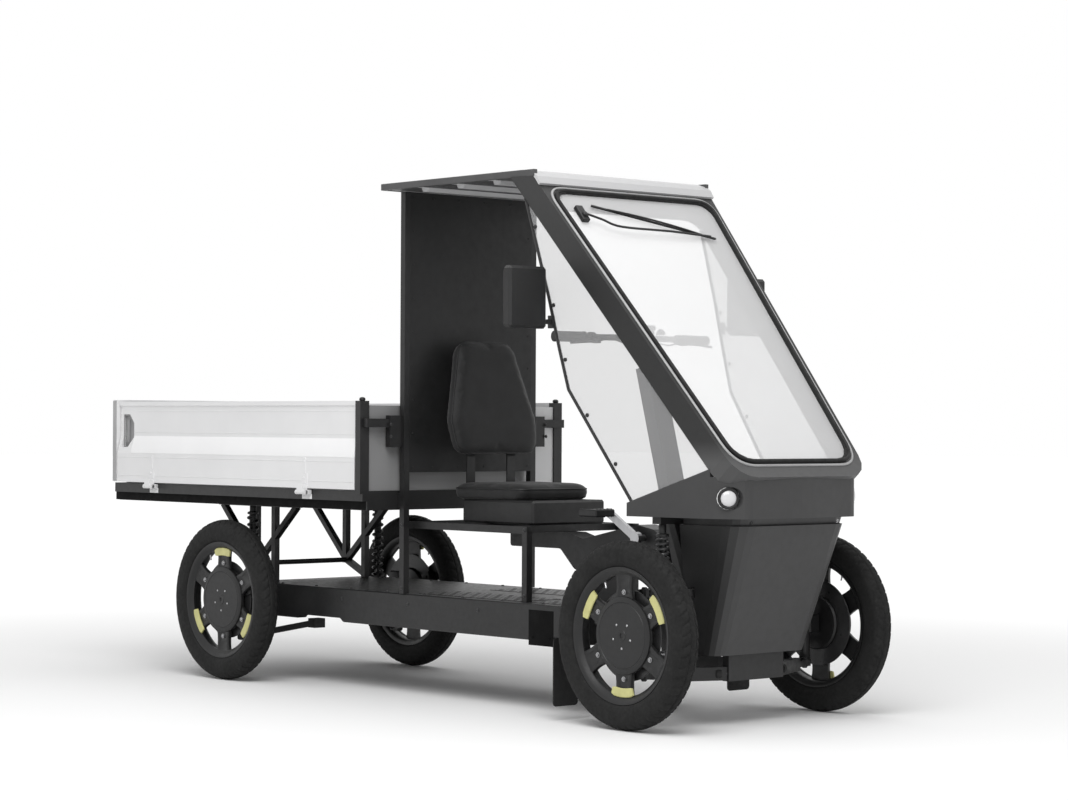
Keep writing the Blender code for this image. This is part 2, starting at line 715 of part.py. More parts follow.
def floor_platform(finish):
    """A welded tray: sills, deck and ribs, open below, with the outriggers of the flaps."""
    low = PLATFORM_TOP - PLATFORM_DEPTH
    front = PLATFORM_FRONT_X
    pieces = [block((PLATFORM_REAR_X, -PLATFORM_HALF, low), (front, PLATFORM_HALF, PLATFORM_TOP), 0.004)]
    pieces.append(block((front - 0.025, -0.480, low + 0.004), (front, 0.480, low + 0.034)))
    bays = 4
    first = REAR_NOTCH_X
    length = PLATFORM_FRONT_X - first
    under_deck = PLATFORM_TOP - DECK_THICKNESS
    cuts = [block((PLATFORM_REAR_X + RIB_WIDTH, SILL_WIDTH - REAR_NOTCH_HALF, low - 0.05),
                  (first - RIB_WIDTH / 2, REAR_NOTCH_HALF - SILL_WIDTH, under_deck))]
    for index in range(bays):
        start = first + length * index / bays + RIB_WIDTH / (1 if index == 0 else 2)
        end = first + length * (index + 1) / bays - RIB_WIDTH / (1 if index == bays - 1 else 2)
        cuts.append(block(
            (start, SILL_WIDTH - PLATFORM_HALF, low - 0.05),
            (end, PLATFORM_HALF - SILL_WIDTH, under_deck),
        ))
    for side in (-1, 1):
        cuts.append(block((PLATFORM_REAR_X - 0.1, side * REAR_NOTCH_HALF, low - 0.1),
                          (REAR_NOTCH_X, side * 0.5, PLATFORM_TOP + 0.1)))
    start, end = REAR_AXLE_X + 0.235, REAR_AXLE_X + 0.575
    below, above = low - 0.02, low + 0.015
    corners = [(start, below), (end, below), (end - 0.040, above), (start + 0.040, above)]
    arch = rounded(corners, [0, 0, 0.02, 0.02])
    cuts.append(slab(arch, "y", -0.4, 0.4))
    return part("floor_platform", finish["black_paint"], pieces, cuts)


def mudflap(side, finish):
    """The rubber flap behind a front wheel."""
    x = PLATFORM_FRONT_X + GAP
    inner, outer, foot, head = side * 0.370, side * 0.483, 0.050, 0.284
    outline = rounded([(inner, foot), (outer, foot), (outer, head), (inner, head)], 0.012, 2)
    return part("mudflap_" + side_name(side), finish["rubber"], [slab(outline, "x", x, x + 0.004)])


def tube_frame(finish):
    """Wall posts, seat rails and uprights of square tube."""
    rear_x = WALL_X - TUBE / 2
    half = TUBE / 2
    top = ROOF_TOP - ROOF_THICKNESS - GAP
    pieces = []
    base = PLATFORM_TOP + GAP
    for side in (-1, 1):
        y = side * POST_Y
        pieces.append(block((rear_x - half, y - half, base), (rear_x + half, y + half, top)))
        y = side * SEAT_RAIL_Y
        pieces.append(block((rear_x, y - half, SEAT_RAIL_Z - half),
                            (SEAT_UPRIGHT_X + half, y + half, SEAT_RAIL_Z + half)))
        pieces.append(block((SEAT_UPRIGHT_X - half, y - half, base),
                            (SEAT_UPRIGHT_X + half, y + half, SEAT_RAIL_Z)))
    for side in (-1, 1):
        y = side * POST_Y
        bed = BED_FRONT_X + GAP
        pieces.append(block((bed, y - half, RAIL_BOTTOM + 0.008), (rear_x, y + half, RAIL_TOP - 0.010)))
        pieces.append(block((bed, y - side * half, TIE_BAR_Z - 0.016),
                            (bed + TUBE, side * BED_HALF, TIE_BAR_Z + 0.016)))
        pieces.append(block((bed + 0.002, y, TIE_BAR_Z - 0.090),
                            (bed + TUBE + 0.004, y + side * 0.070, TIE_BAR_Z + 0.028)))
    for x in (rear_x, 0.300, 0.540):
        reach = POST_Y if x == rear_x else SEAT_RAIL_Y
        pieces.append(block((x - half, -reach, SEAT_RAIL_Z - half), (x + half, reach, SEAT_RAIL_Z + half)))
    return part("tube_frame", finish["black_paint"], pieces)


def rear_wall(finish):
    """The flat panel behind the rider."""
    half = POST_Y - TUBE / 2 - GAP
    top = ROOF_TOP - ROOF_THICKNESS - GAP
    panel = block((WALL_X - WALL_THICKNESS, -half, WALL_BOTTOM), (WALL_X, half, top))
    return part("rear_wall", finish["wall"], [panel])


def seat(finish):
    """Seat box with the backrest's two brackets, cushion and backrest."""
    base = SEAT_RAIL_Z + TUBE / 2 + GAP
    lean = Vector((-0.08, 0, 0.43)).normalized()
    facing_out = Vector((lean.z, 0, -lean.x))
    middle = Vector((0.150, 0, 0.895))
    corners = [(-0.200, 0.0), (0.200, 0.0), (0.220, 0.13), (0.135, 0.44), (-0.135, 0.44), (-0.220, 0.13)]
    shape = rounded(corners, [0.06, 0.06, 0.05, 0.06, 0.06, 0.05])
    back = plate([shape], SEAT_BACK_THICKNESS, middle, (0, 1, 0), lean)
    part("seat_back", finish["seat"], [back])

    low = middle - facing_out * (SEAT_BACK_THICKNESS / 2 + GAP)
    high = low + lean * 0.22
    strap = facing_out * SEAT_STRAP
    shelf = SEAT_TOP - 0.030
    fixed = SEAT_BOX_REAR + 0.010
    behind = low.x - SEAT_STRAP
    section = [(fixed, shelf), (low.x, shelf), (low.x, low.z), (high.x, high.z),
               (high.x - strap.x, high.z - strap.z), (behind, low.z), (behind, shelf - SEAT_STRAP),
               (fixed, shelf - SEAT_STRAP)]
    box = block((SEAT_BOX_REAR, -0.180, base), (0.560, 0.180, SEAT_TOP), 0.008)
    brackets = [slab(section, "y", y - 0.020, y + 0.020) for y in (-0.100, 0.100)]
    part("seat_box", finish["black_paint"], [box] + brackets)
    rest = SEAT_TOP + GAP
    corners = [(0.125, rest), (0.495, rest), (0.505, 0.792), (0.125, 0.785)]
    outline = rounded(corners, [0.01, 0.02, 0.025, 0.02])
    part("seat_cushion", finish["seat"], [slab(outline, "y", -0.200, 0.200)])


def main_beam(finish):
    """The boom from the seat frame down to the pedal unit, its housing and its leg."""
    high = SEAT_RAIL_Z - TUBE / 2 - GAP
    low = high - 0.060
    side_view = [(0.285, low), (0.560, low), (0.640, 0.485), (1.060, 0.520), (1.075, 0.640),
                 (0.960, 0.660), (0.680, 0.600), (0.600, high), (0.285, high)]
    base = PLATFORM_TOP + GAP
    leg = [(0.700, base), (0.860, base), (0.840, 0.52), (0.720, 0.52)]
    pieces = [
        slab(rounded(side_view, [0.01, 0.02] + [0.03] * 5 + [0.01] * 2, 2), "y", -0.045, 0.045),
        slab(leg, "y", -0.035, 0.035),
    ]
    bore = rod((CRANK_X, -0.2, CRANK_Z), (CRANK_X, 0.2, CRANK_Z), SPINDLE_RADIUS + PIN_PLAY, 12)
    return part("main_beam", finish["black_paint"], pieces, [bore])


def crank_tip(side):
    """The crank arm's hub on a side, and the pedal's axis at the end of the arm."""
    hub = Vector((CRANK_X, side * CRANK_ARM_Y, CRANK_Z))
    lean = Vector((CRANK_LEAN[0], 0, CRANK_LEAN[1])).normalized() * CRANK_LENGTH
    return hub, hub - side * lean


def crank(finish):
    """Spindle and the two arms, one up to the rear on the near side."""
    centre = Vector((CRANK_X, 0, CRANK_Z))
    reach = Vector((0, CRANK_ARM_Y, 0))
    pieces = [rod(centre - reach, centre + reach, SPINDLE_RADIUS, 12)]
    for side in (-1, 1):
        hub, tip = crank_tip(side)
        pieces.append(bar(hub, tip, 0.014, 0.028))
        pieces.append(rod(hub - Vector((0, 0.010, 0)), hub + Vector((0, 0.010, 0)), 0.022, 16))
        pieces.append(rod(tip - Vector((0, 0.008, 0)), tip + Vector((0, 0.008, 0)), 0.016, 12))
        pieces.append(rod(tip, tip + Vector((0, side * 0.100, 0)), PEDAL_PIN_RADIUS, 10))
    arms = part("crank", finish["steel"], pieces)
    spindle = joint_empty("crank_spindle", centre)
    on_axis(arms, centre, spindle)
    return spindle


def pedal(side, finish, spindle):
    """A platform pedal on the arm's pin."""
    hub, tip = crank_tip(side)
    near = tip.y + side * 0.012
    far = tip.y + side * 0.106
    shape = block((tip.x - 0.046, near, tip.z - 0.013), (tip.x + 0.046, far, tip.z + 0.013), 0.004)
    pin_end = tip + Vector((0, side * 0.101, 0))
    cuts = [rod((tip.x, near - side * 0.01, tip.z), pin_end, PEDAL_PIN_RADIUS + PIN_PLAY, 10)]
    for dx in (-0.026, 0.026):
        x = tip.x + dx
        cuts.append(block((x - 0.012, near + side * 0.012, tip.z - 0.05),
                          (x + 0.012, far - side * 0.012, tip.z + 0.05)))
    tread = part("pedal_" + side_name(side), finish["plastic"], [shape], cuts)
    on_axis(tread, tip, joint_empty("pedal_pin_" + side_name(side), tip, spindle))


def steering_column(finish):
    """The fixed column from the front sub-frame up to the handlebar's bearing."""
    direction = Vector((BAR_X - COLUMN_BASE_X, 0, BAR_Z - COLUMN_BASE_Z)).normalized()
    base = Vector((COLUMN_BASE_X, 0, COLUMN_BASE_Z))
    top = base + direction * COLUMN_RISE
    low = SUBFRAME_HIGH + GAP
    pieces = [bar(base - direction * 0.02, top, COLUMN_WIDTH, COLUMN_DEPTH),
              block((1.208, -0.125, low), (1.262, 0.125, COLUMN_BASE_Z + 0.02))]
    return part("steering_column", finish["plastic"], pieces)


def handlebar(finish):
    """Stem, bar, grips and brake levers."""
    direction = Vector((BAR_X - COLUMN_BASE_X, 0, BAR_Z - COLUMN_BASE_Z)).normalized()
    base = Vector((COLUMN_BASE_X, 0, COLUMN_BASE_Z)) + direction * (COLUMN_RISE + GAP)
    centre = Vector((BAR_X, 0, BAR_Z))
    sweep = Vector((-0.060, 0, 0))
    end = Vector((0, BAR_HALF, 0))
    half = [centre + end * 0.3, centre + sweep * 0.6 + end * 0.6, centre + sweep + end]
    pieces = [
        pipe([Vector((point.x, -point.y, point.z)) for point in reversed(half)] + half, BAR_RADIUS),
        rod(base, centre, 0.018, 16),
        block(centre - Vector((0.025, 0.035, 0.022)), centre + Vector((0.025, 0.035, 0.030)), 0.006),
    ]
    for side in (-1, 1):
        inner = centre + sweep * 0.75 + Vector((0, side * (BAR_HALF - GRIP_LENGTH), 0))
        outer = centre + sweep + Vector((0, side * (BAR_HALF + 0.004), 0))
        pieces.append(rod(inner, outer, GRIP_RADIUS, 12))
    bars = part("handlebar", finish["plastic"], pieces, smooth=35)
    on_axis(bars, centre, joint_empty("handlebar_bearing", centre))


# Cab

def screen_axes():
    """The windscreen plane's top point, its downward direction and its outward normal."""
    top = Vector((SCREEN_TOP[0], 0, SCREEN_TOP[1]))
    foot = Vector((SCREEN_FOOT[0], 0, SCREEN_FOOT[1]))
    down = (foot - top).normalized()
    return top, down, Vector((-down.z, 0, down.x))


def screen_outline(half_top, half_foot, start, end, round_top, round_foot, steps=4):
    """A tapered outline in the windscreen plane: across, and down the slope."""
    corners = [(-half_top, start), (half_top, start), (half_foot, end), (-half_foot, end)]
    return rounded(corners, [round_top, round_top, round_foot, round_foot], steps)


def frame_outline(clear=0.0):
    """The outside of the screen frame."""
    top = FRAME_HALF_TOP + FRAME_FLARE + clear
    return screen_outline(top, FRAME_HALF_FOOT + clear, -0.14, FRAME_END + clear, 0.0, FRAME_ROUND)


def opening_outline(edge, rounding=0.0):
    """The screen's opening, made wider all round by edge."""
    return screen_outline(OPENING_HALF_TOP + edge, OPENING_HALF_FOOT + edge,
                          OPENING_START - edge, OPENING_END + edge,
                          OPENING_ROUND_TOP + rounding, OPENING_ROUND_FOOT + rounding)


def cab_frame(finish):
    """The black frame round the windscreen, cut off level under the roof."""
    top, down, out = screen_axes()
    across = (0, 1, 0)
    middle = top - out * FRAME_DEPTH / 2
    shell = plate([frame_outline(), opening_outline(0.0)], FRAME_DEPTH, middle, across, down)
    level = ROOF_TOP - ROOF_THICKNESS - GAP
    near, far = SCREEN_TOP[0] - 0.5, SCREEN_TOP[0] + 0.4
    above = block((near, -0.6, level), (far, 0.6, level + 0.5))
    pocket = plate([opening_outline(SEAL_WIDTH, SEAL_ROUND)], SCREEN_REST_DEPTH * 2, top, across, down)
    return part("cab_frame", finish["black_paint"], [shell], [above, pocket])


def windscreen(finish):
    """The glass, and the seal that holds it in the frame's rebate."""
    top, down, out = screen_axes()
    across = (0, 1, 0)
    depth = SCREEN_REST_DEPTH + 0.006 - GAP
    middle = top - out * (SCREEN_REST_DEPTH - GAP - depth / 2)
    ring = [opening_outline(SEAL_WIDTH - GAP, SEAL_ROUND), opening_outline(0.0)]
    seal = plate(ring, depth, middle, across, down)
    part("windscreen_seal", finish["rubber"], [seal])
    glass = plate([opening_outline(-GAP)], GLASS_THICKNESS, top - out * GLASS_SINK, across, down)
    part("windscreen", finish["glass"], [glass])


def roof_panel(finish):
    """The flat roof with its rounded front lip over the frame's head."""
    top, down, out = screen_axes()
    level = ROOF_TOP - ROOF_THICKNESS
    slope = down.x / down.z
    lip = top + down * -0.004 + out * 0.0008
    meet = lip.x + (level - lip.z) * slope
    outline = [(ROOF_REAR_X, level), (meet, level), (lip.x, lip.z), (lip.x + 0.007, lip.z + 0.006)]
    for back, drop in ((0.009, 0.026), (0.030, 0.010), (0.057, 0.002), (0.087, 0.0)):
        outline.append((lip.x - back, ROOF_TOP - drop))
    outline.append((ROOF_REAR_X, ROOF_TOP))
    pieces = [slab(outline, "y", -ROOF_HALF, ROOF_HALF)]
    for x in ROOF_RIB_XS:
        high, low = level + 0.002, level - 0.014
        section = [(x - 0.024, high), (x - 0.016, low), (x + 0.016, low), (x + 0.024, high)]
        pieces.append(slab(section, "y", 0.055 - ROOF_HALF, ROOF_HALF - 0.055))
    return part("roof_panel", finish["light_panel"], pieces)


def side_plane(side):
    """Origin, forward direction and up of the tapered side of the cab."""
    lean = atan2(SIDE_START[1] - SIDE_END[1], SIDE_END[0] - SIDE_START[0])
    origin = Vector((SIDE_START[0], side * SIDE_START[1], 0))
    return origin, Vector((cos(lean), -side * sin(lean), 0)), Vector((0, 0, 1))


def frame_line(depth):
    """A point and the X change for each Z on the frame's plane at a depth behind its face."""
    top, down, out = screen_axes()
    point = top - out * depth
    return point, down.x / down.z


def band_edge(x, clear=0.0):
    """Height of the nose band's sloping upper edge at x."""
    (x0, z0), (x1, z1) = BAND_EDGE
    return z0 + (x - x0) * (z1 - z0) / (x1 - x0) + clear


def side_screen(side, finish):
    """The clear side pane between the pillar, its edge tube and the nose band."""
    origin, ahead, up = side_plane(side)
    point, slope = frame_line(FRAME_DEPTH + 2 * GAP)
    head = (point.x + (SIDE_HEAD_Z - point.z) * slope, SIDE_HEAD_Z)
    (x0, z0), (x1, z1) = BAND_EDGE
    rise = (z1 - z0) / (x1 - x0)
    foot_z = (band_edge(point.x, 2 * GAP) - point.z * slope * rise) / (1 - slope * rise)
    foot = (point.x + (foot_z - point.z) * slope, foot_z)
    rear = list(SIDE_REAR)
    (x0, z0), (x1, z1) = rear[-2:]
    fall = (z1 - z0) / (x1 - x0)
    end_x = (z0 - fall * x0 - band_edge(0.0, 2 * GAP)) / (rise - fall)
    rear[-1] = (end_x, band_edge(end_x, 2 * GAP))
    outline = [((x - origin.x) / ahead.x, z) for x, z in [head] + rear + [foot]]
    pane = plate([outline], PANE_THICKNESS, origin, ahead, up)
    part("side_screen_" + side_name(side), finish["side_glass"], [pane])


def edge_path(side):
    """The middle line of the tube behind a side screen, from the frame down to the band."""
    origin, ahead, up = side_plane(side)
    back = EDGE_RADIUS + 2 * GAP
    flat = [Vector(point) for point in SIDE_REAR]
    head = flat[0] + (flat[0] - flat[1]).normalized() * 0.12
    foot = flat[-1] + (flat[-1] - flat[-2]).normalized() * 0.05
    flat = [head] + flat[1:-1] + [foot]
    shifted = []
    for index, point in enumerate(flat):
        before = flat[max(index - 1, 0)]
        after = flat[min(index + 1, len(flat) - 1)]
        along = (after - before).normalized()
        part_way = (after - point if index < len(flat) - 1 else point - before).normalized()
        shifted.append(point + Vector((along.y, -along.x)) * back / along.dot(part_way))
    return [Vector((x, origin.y + (x - origin.x) * ahead.y / ahead.x, z)) for x, z in shifted]


def ahead_of_frame(outline):
    """A thick cutter with the given outline, from the frame's back face outwards."""
    top, down, out = screen_axes()
    reach = 0.40
    return plate([outline], reach, top + out * (reach / 2 - FRAME_DEPTH - GAP), (0, 1, 0), down)


def screen_edge(side, finish):
    """The tube along a side screen's rear edge, from the frame down to the nose band."""
    tube = pipe(edge_path(side), EDGE_RADIUS, 8)
    over = ahead_of_frame(screen_outline(0.6, 0.6, -0.3, 1.6, 0.0, 0.0))
    near, far = 1.10, 1.60
    under = [(near, band_edge(near, GAP)), (far, band_edge(far, GAP)), (far, 0.5), (near, 0.5)]
    below = slab(under, "y", -0.6, 0.6)
    return part("screen_edge_" + side_name(side), finish["black_paint"], [tube], [over, below], smooth=35)


def band_plan(inset):
    """The nose band's U in plan, moved in by inset. The front bows slightly."""
    flare = (SIDE_START[1] - SIDE_END[1]) / (SIDE_END[0] - SIDE_START[0])
    back_y = BAND_HALF + (BAND_SIDE_X - BAND_BACK_X) * flare - inset
    side_y = BAND_HALF - inset
    corner = (BAND_FRONT_X - inset - 0.012, BAND_CORNER - inset * 0.7)
    half = [(BAND_FRONT_X - inset, 0.0), corner, (BAND_SIDE_X, side_y), (BAND_BACK_X, back_y)]
    corners = [(x, -y) for x, y in reversed(half[1:])] + half
    return rounded(corners, [0, 0.08, 0.05, 0.9, 0.05, 0.08, 0], 3)


def nose_band(finish):
    """The upper nose: a U in plan, its top cut to the side screens and the frame."""
    loop = band_plan(0.0) + list(reversed(band_plan(BAND_WALL)))
    body = slab(loop, "z", TOWER_TOP + GAP, 0.90)
    over = ahead_of_frame(frame_outline(GAP))
    near, far = 1.10, BAND_EDGE[1][0]
    edge = slab([(near, band_edge(near)), (far, band_edge(far)), (far, 1.0), (near, 1.0)], "y", -0.6, 0.6)
    ahead = block((1.60, -0.6, BAND_FRONT_Z), (1.80, 0.6, 1.0))
    cuts = []
    for side in (-1, 1):
        centre, axis = lamp_axis(side)
        cuts.append(rod(centre - axis * 0.05, centre + axis * 0.06, LAMP_RADIUS + GAP, 16))
        mouth = LAMP_RADIUS + (LAMP_POCKET - LAMP_RADIUS) * 3
        cuts.append(rod(centre - axis * 0.004, centre + axis * 0.041, LAMP_RADIUS + GAP, 16, mouth))
    return part("nose_band", finish["dark_panel"], [body], cuts + [over, edge, ahead])


def nose_front(z):
    """X of the lower nose's front face at a height."""
    return NOSE_FOOT[0] + (z - NOSE_FOOT[1]) * NOSE_SLOPE


def nose_section(z, inset, back):
    """The lower nose in plan at a height: a flat front with rounded corners and two returns."""
    share = (z - NOSE_FOOT[1]) / (NOSE_TOP[1] - NOSE_FOOT[1])
    half = NOSE_HALF_FOOT + (NOSE_HALF_TOP - NOSE_HALF_FOOT) * share - inset
    corner = NOSE_ROUND_FOOT + (NOSE_ROUND_TOP - NOSE_ROUND_FOOT) * share - inset
    front = nose_front(z) - inset
    plan = rounded([(back, -half), (front, -half), (front, half), (back, half)], [0, corner, corner, 0], 4)
    return [(x, y, z) for x, y in plan]


def nose_panel(finish):
    """The lower nose: a tapered, undercut sheet with returns, and a groove below the band."""
    low, high = NOSE_FOOT[1], NOSE_TOP[1]
    beyond = 0.02
    skin = loft([nose_section(low, 0.0, NOSE_BACK_X), nose_section(GROOVE_Z, 0.0, NOSE_BACK_X)])
    back = NOSE_BACK_X + GROOVE_DEPTH
    neck = loft([nose_section(z, GROOVE_DEPTH, back) for z in (GROOVE_Z - NOSE_SHEET, high)])
    behind = NOSE_BACK_X - 0.1
    inside = loft([nose_section(z, NOSE_SHEET, behind) for z in (low - beyond, GROOVE_Z - NOSE_SHEET)])
    inset = NOSE_SHEET + GROOVE_DEPTH
    upper = loft([nose_section(z, inset, behind) for z in (GROOVE_Z - NOSE_SHEET - 0.004, high + beyond)])
    arm_z = KINGPIN_HIGH + JOINT_HALF + GAP
    notch = block((NOSE_BACK_X - 0.02, -0.4, arm_z - 0.018), (NOSE_BACK_X + 0.048, 0.4, arm_z + 0.018))
    return part("nose_panel", finish["dark_panel"], [skin, neck], [inside, upper, notch])


def lamp_axis(side):
    """The lamp's centre and the way it faces."""
    turn = radians(LAMP_TURN)
    x, y, z = LAMP_CENTRE
    return Vector((x, side * y, z)), Vector((cos(turn), side * sin(turn), 0))


def headlamp(side, finish):
    """A round lamp in the corner of the nose band."""
    centre, ahead = lamp_axis(side)
    profile = [(0.0, 0.009), (0.018, 0.007), (0.030, 0.001), (LAMP_RADIUS, 0.0), (LAMP_RADIUS, -0.006),
               (0.027, -0.020), (0.0, -0.024)]
    body = turned(profile, centre, ahead, 16, closed=False)
    return part("headlamp_" + side_name(side), finish["lamp"], [body], smooth=35)


def mirror(side, finish):
    """A door mirror with its arm and the pad that grips the edge tube."""
    path = edge_path(side)
    upper = max((point for point in path if point.z < MIRROR_Z), key=lambda point: point.z)
    lower = min((point for point in path if point.z > MIRROR_Z), key=lambda point: point.z)
    grip = lower.lerp(upper, (MIRROR_Z - lower.z) / (upper.z - lower.z))
    face = grip.y + side * (EDGE_RADIUS + 4 * GAP)
    foot = MIRROR_Z - 0.025
    housing = block((0.905, side * MIRROR_INNER, foot),
                    (0.945, side * MIRROR_OUTER, foot + MIRROR_HEIGHT), 0.010)
    arm = block((grip.x - 0.008, face, MIRROR_Z - 0.008),
                (grip.x + 0.008, side * (MIRROR_INNER + 0.060), MIRROR_Z + 0.008))
    pad = block((grip.x - 0.011, face, MIRROR_Z - 0.022),
                (grip.x + 0.011, face + side * 0.012, MIRROR_Z + 0.022))
    return part("mirror_" + side_name(side), finish["plastic"], [housing, arm, pad])


# Load bed

def board_outline(side):
    """Section of a drop-side board in Y and Z, thick below its shoulder."""
    low = RAIL_TOP + RUNNING_GAP
    points = [
        (BOARD_INNER, low), (BOARD_OUTER, low), (BOARD_OUTER, SHOULDER_LOW), (BOARD_UPPER, SHOULDER_HIGH),
        (BOARD_UPPER, BOARD_TOP - 0.020), (BOARD_UPPER + 0.006, BOARD_TOP - 0.016),
        (BOARD_UPPER + 0.006, BOARD_TOP), (BOARD_INNER, BOARD_TOP),
    ]
    return [(side * y, z) for y, z in points]


def bed_frame(finish):
    """Perimeter rails with their inset lower beams, floor, stringers, front posts and hinge ears."""
    pieces = [block((BED_REAR_X, -BED_HALF, RAIL_BOTTOM), (BED_FRONT_X, BED_HALF, RAIL_TOP))]
    cuts = []
    bays = 4
    length = BED_FRONT_X - BED_REAR_X
    near, far = STRINGER_Y
    for index in range(bays):
        start = BED_REAR_X + length * index / bays + 0.025
        end = BED_REAR_X + length * (index + 1) / bays - 0.025
        for left, right in ((RAIL_WALL - BED_HALF, -far), (-near, near), (far, BED_HALF - RAIL_WALL)):
            cuts.append(block((start, left, RAIL_BOTTOM - 0.05), (end, right, RAIL_TOP - BED_FLOOR)))
    for side in (-1, 1):
        cuts.append(block((BED_REAR_X - 0.1, side * (BED_HALF - RAIL_INSET), RAIL_BOTTOM - 0.1),
                          (BED_FRONT_X + 0.1, side * 0.7, RAIL_TOP - RAIL_LIP)))
        pieces.append(block((BED_FRONT_X - POST_WIDTH, side * POST_INNER, RAIL_TOP - 0.01),
                            (BED_FRONT_X, side * BOARD_OUTER, BOARD_TOP)))
        for x in HINGE_XS:
            pieces += ears("y", x, side * (BOARD_OUTER + HINGE_OUT), side * (BED_HALF - 0.01))
    for y in TAIL_HINGE_YS:
        pieces += ears("x", y, BED_REAR_X - HINGE_OUT, BED_REAR_X + 0.01)
    return part("bed_frame", finish["black_paint"], pieces, cuts)


def hinge_point(kind, along, out):
    """A point on a hinge line: kind is the axis that carries the board's outward direction."""
    return Vector((along, out, HINGE_Z)) if kind == "y" else Vector((out, along, HINGE_Z))


def hinge_block(kind, along, out, z):
    """A block from pairs of values along the hinge, outwards and up."""
    corners = [hinge_point(kind, a, o) for a, o in zip(along, out)]
    return block((*corners[0].xy, HINGE_Z + z[0]), (*corners[1].xy, HINGE_Z + z[1]))


def hinge_rod(kind, along, out, radius, sides):
    """A round piece on the hinge line."""
    return rod(hinge_point(kind, along[0], out), hinge_point(kind, along[1], out), radius, sides)


def ears(kind, along, out, root):
    """Two ears with a pin between them, reaching out from the bed rail to the hinge line."""
    half = HINGE_LENGTH / 2
    pieces = [hinge_rod(kind, (along - half - 0.004, along + half + 0.004), out, HINGE_PIN_RADIUS, 8)]
    for end in (-1, 1):
        span = sorted((along + end * (half + PIN_PLAY), along + end * (half + PIN_PLAY + 0.010)))
        pieces.append(hinge_block(kind, span, (root, out), (-HINGE_RADIUS, HINGE_RADIUS)))
        pieces.append(hinge_rod(kind, span, out, HINGE_RADIUS, 8))
    return pieces


def barrel(kind, along, out, face):
    """The moving hinge leaf with its barrel on the hinge line, and the bore's cutter."""
    half = HINGE_LENGTH / 2
    away = 1 if out > face else -1
    span = (along - half, along + half)
    pieces = [
        hinge_block(kind, span, (face - away * 0.003, face + away * 0.005), (0.016, 0.070)),
        hinge_block(kind, span, (face + away * 0.0005, out + away * HINGE_RADIUS), (0.0, 0.030)),
        hinge_rod(kind, span, out, HINGE_RADIUS, 8),
    ]
    bore = hinge_rod(kind, (along - half - 0.01, along + half + 0.01), out, HINGE_PIN_RADIUS + PIN_PLAY, 8)
    return pieces, bore


def side_board(side, finish):
    """A drop side with its shoulder, latch pocket and hinge leaves."""
    rear = BED_REAR_X + TAILGATE_THICKNESS + RUNNING_GAP
    front = BED_FRONT_X - POST_WIDTH - RUNNING_GAP
    hinge_y = side * (BOARD_OUTER + HINGE_OUT)
    pieces = [slab(board_outline(side), "x", rear, front)]
    cuts = []
    for x in HINGE_XS:
        extra, bore = barrel("y", x, hinge_y, side * BOARD_OUTER)
        pieces += extra
        cuts.append(bore)
    near, far = rear + 0.021, rear + 0.098
    slope = far - 0.031
    pocket = [(near, 1.046), (slope, 1.046), (far, 1.010), (far, 0.950), (slope, 0.910), (near, 0.910)]
    low, high = sorted((side * (BOARD_UPPER - 0.010), side * (BOARD_OUTER + 0.010)))
    cuts.append(slab(pocket, "y", low, high))
    board = part("side_board_" + side_name(side), finish["board"], pieces, cuts)
    pivot = ((rear + front) / 2, hinge_y, HINGE_Z)
    on_axis(board, pivot, joint_empty("side_board_hinge_" + side_name(side), pivot))


def tailgate(finish):
    """The rear drop board across the ends of the side boards."""
    outer = BED_REAR_X
    inner = outer + TAILGATE_THICKNESS
    low = RAIL_TOP + RUNNING_GAP
    section = [(inner, low), (outer, low), (outer, SHOULDER_LOW), (outer + 0.010, SHOULDER_HIGH),
               (outer + 0.010, BOARD_TOP - 0.020), (outer + 0.004, BOARD_TOP - 0.016),
               (outer + 0.004, BOARD_TOP + 0.008), (inner, BOARD_TOP + 0.008)]
    pieces = [slab(section, "y", -BOARD_OUTER, BOARD_OUTER)]
    cuts = []
    for y in TAIL_HINGE_YS:
        extra, bore = barrel("x", y, outer - HINGE_OUT, outer)
        pieces += extra
        cuts.append(bore)
    board = part("tailgate", finish["board"], pieces, cuts)
    pivot = (outer - HINGE_OUT, 0.0, HINGE_Z)
    on_axis(board, pivot, joint_empty("tailgate_hinge", pivot))


def headboard(finish):
    """The fixed board between the front posts."""
    half = POST_INNER - GAP
    panel = block((BED_FRONT_X - 0.028, -half, RAIL_TOP + GAP),
                  (BED_FRONT_X - 0.006, half, BOARD_TOP - 0.017))
    return part("headboard", finish["board"], [panel])


def bed_truss(side, finish):
    """The side frame of the tower over the rear axle, between the platform and the bed."""
    y = side * TRUSS_Y
    top = RAIL_BOTTOM - GAP
    base = PLATFORM_TOP + GAP
    width = 0.024
    half = width / 2
    knot = Vector((REAR_AXLE_X + TRUSS_KNOT[0], y, TRUSS_KNOT[1]))
    rear, front = knot.x - 0.255, knot.x + 0.285
    upright = REAR_AXLE_X - 0.010
    pieces = [
        block((rear, y - half, top - 0.014), (front, y + half, top)),
        block((knot.x - 0.006 - half, y - half, knot.z - half),
              (knot.x - 0.006 + half, y + half, top - 0.004)),
        block((upright - half, y - half, base), (upright + half, y + half, top - 0.004)),
        bar(knot, (upright, y, base + 0.0137), width, width * 0.9),
    ]
    for start in (rear + 0.020, front - 0.020):
        pieces.append(bar((start, y, top - 0.010), knot, width, width * 0.9))
    below = block((rear - 0.1, -0.6, base - 0.2), (front + 0.9, 0.6, base))
    above = block((rear - 0.1, -0.6, top), (front + 0.9, 0.6, top + 0.2))
    return part("bed_truss_" + side_name(side), finish["black_paint"], pieces, [below, above])


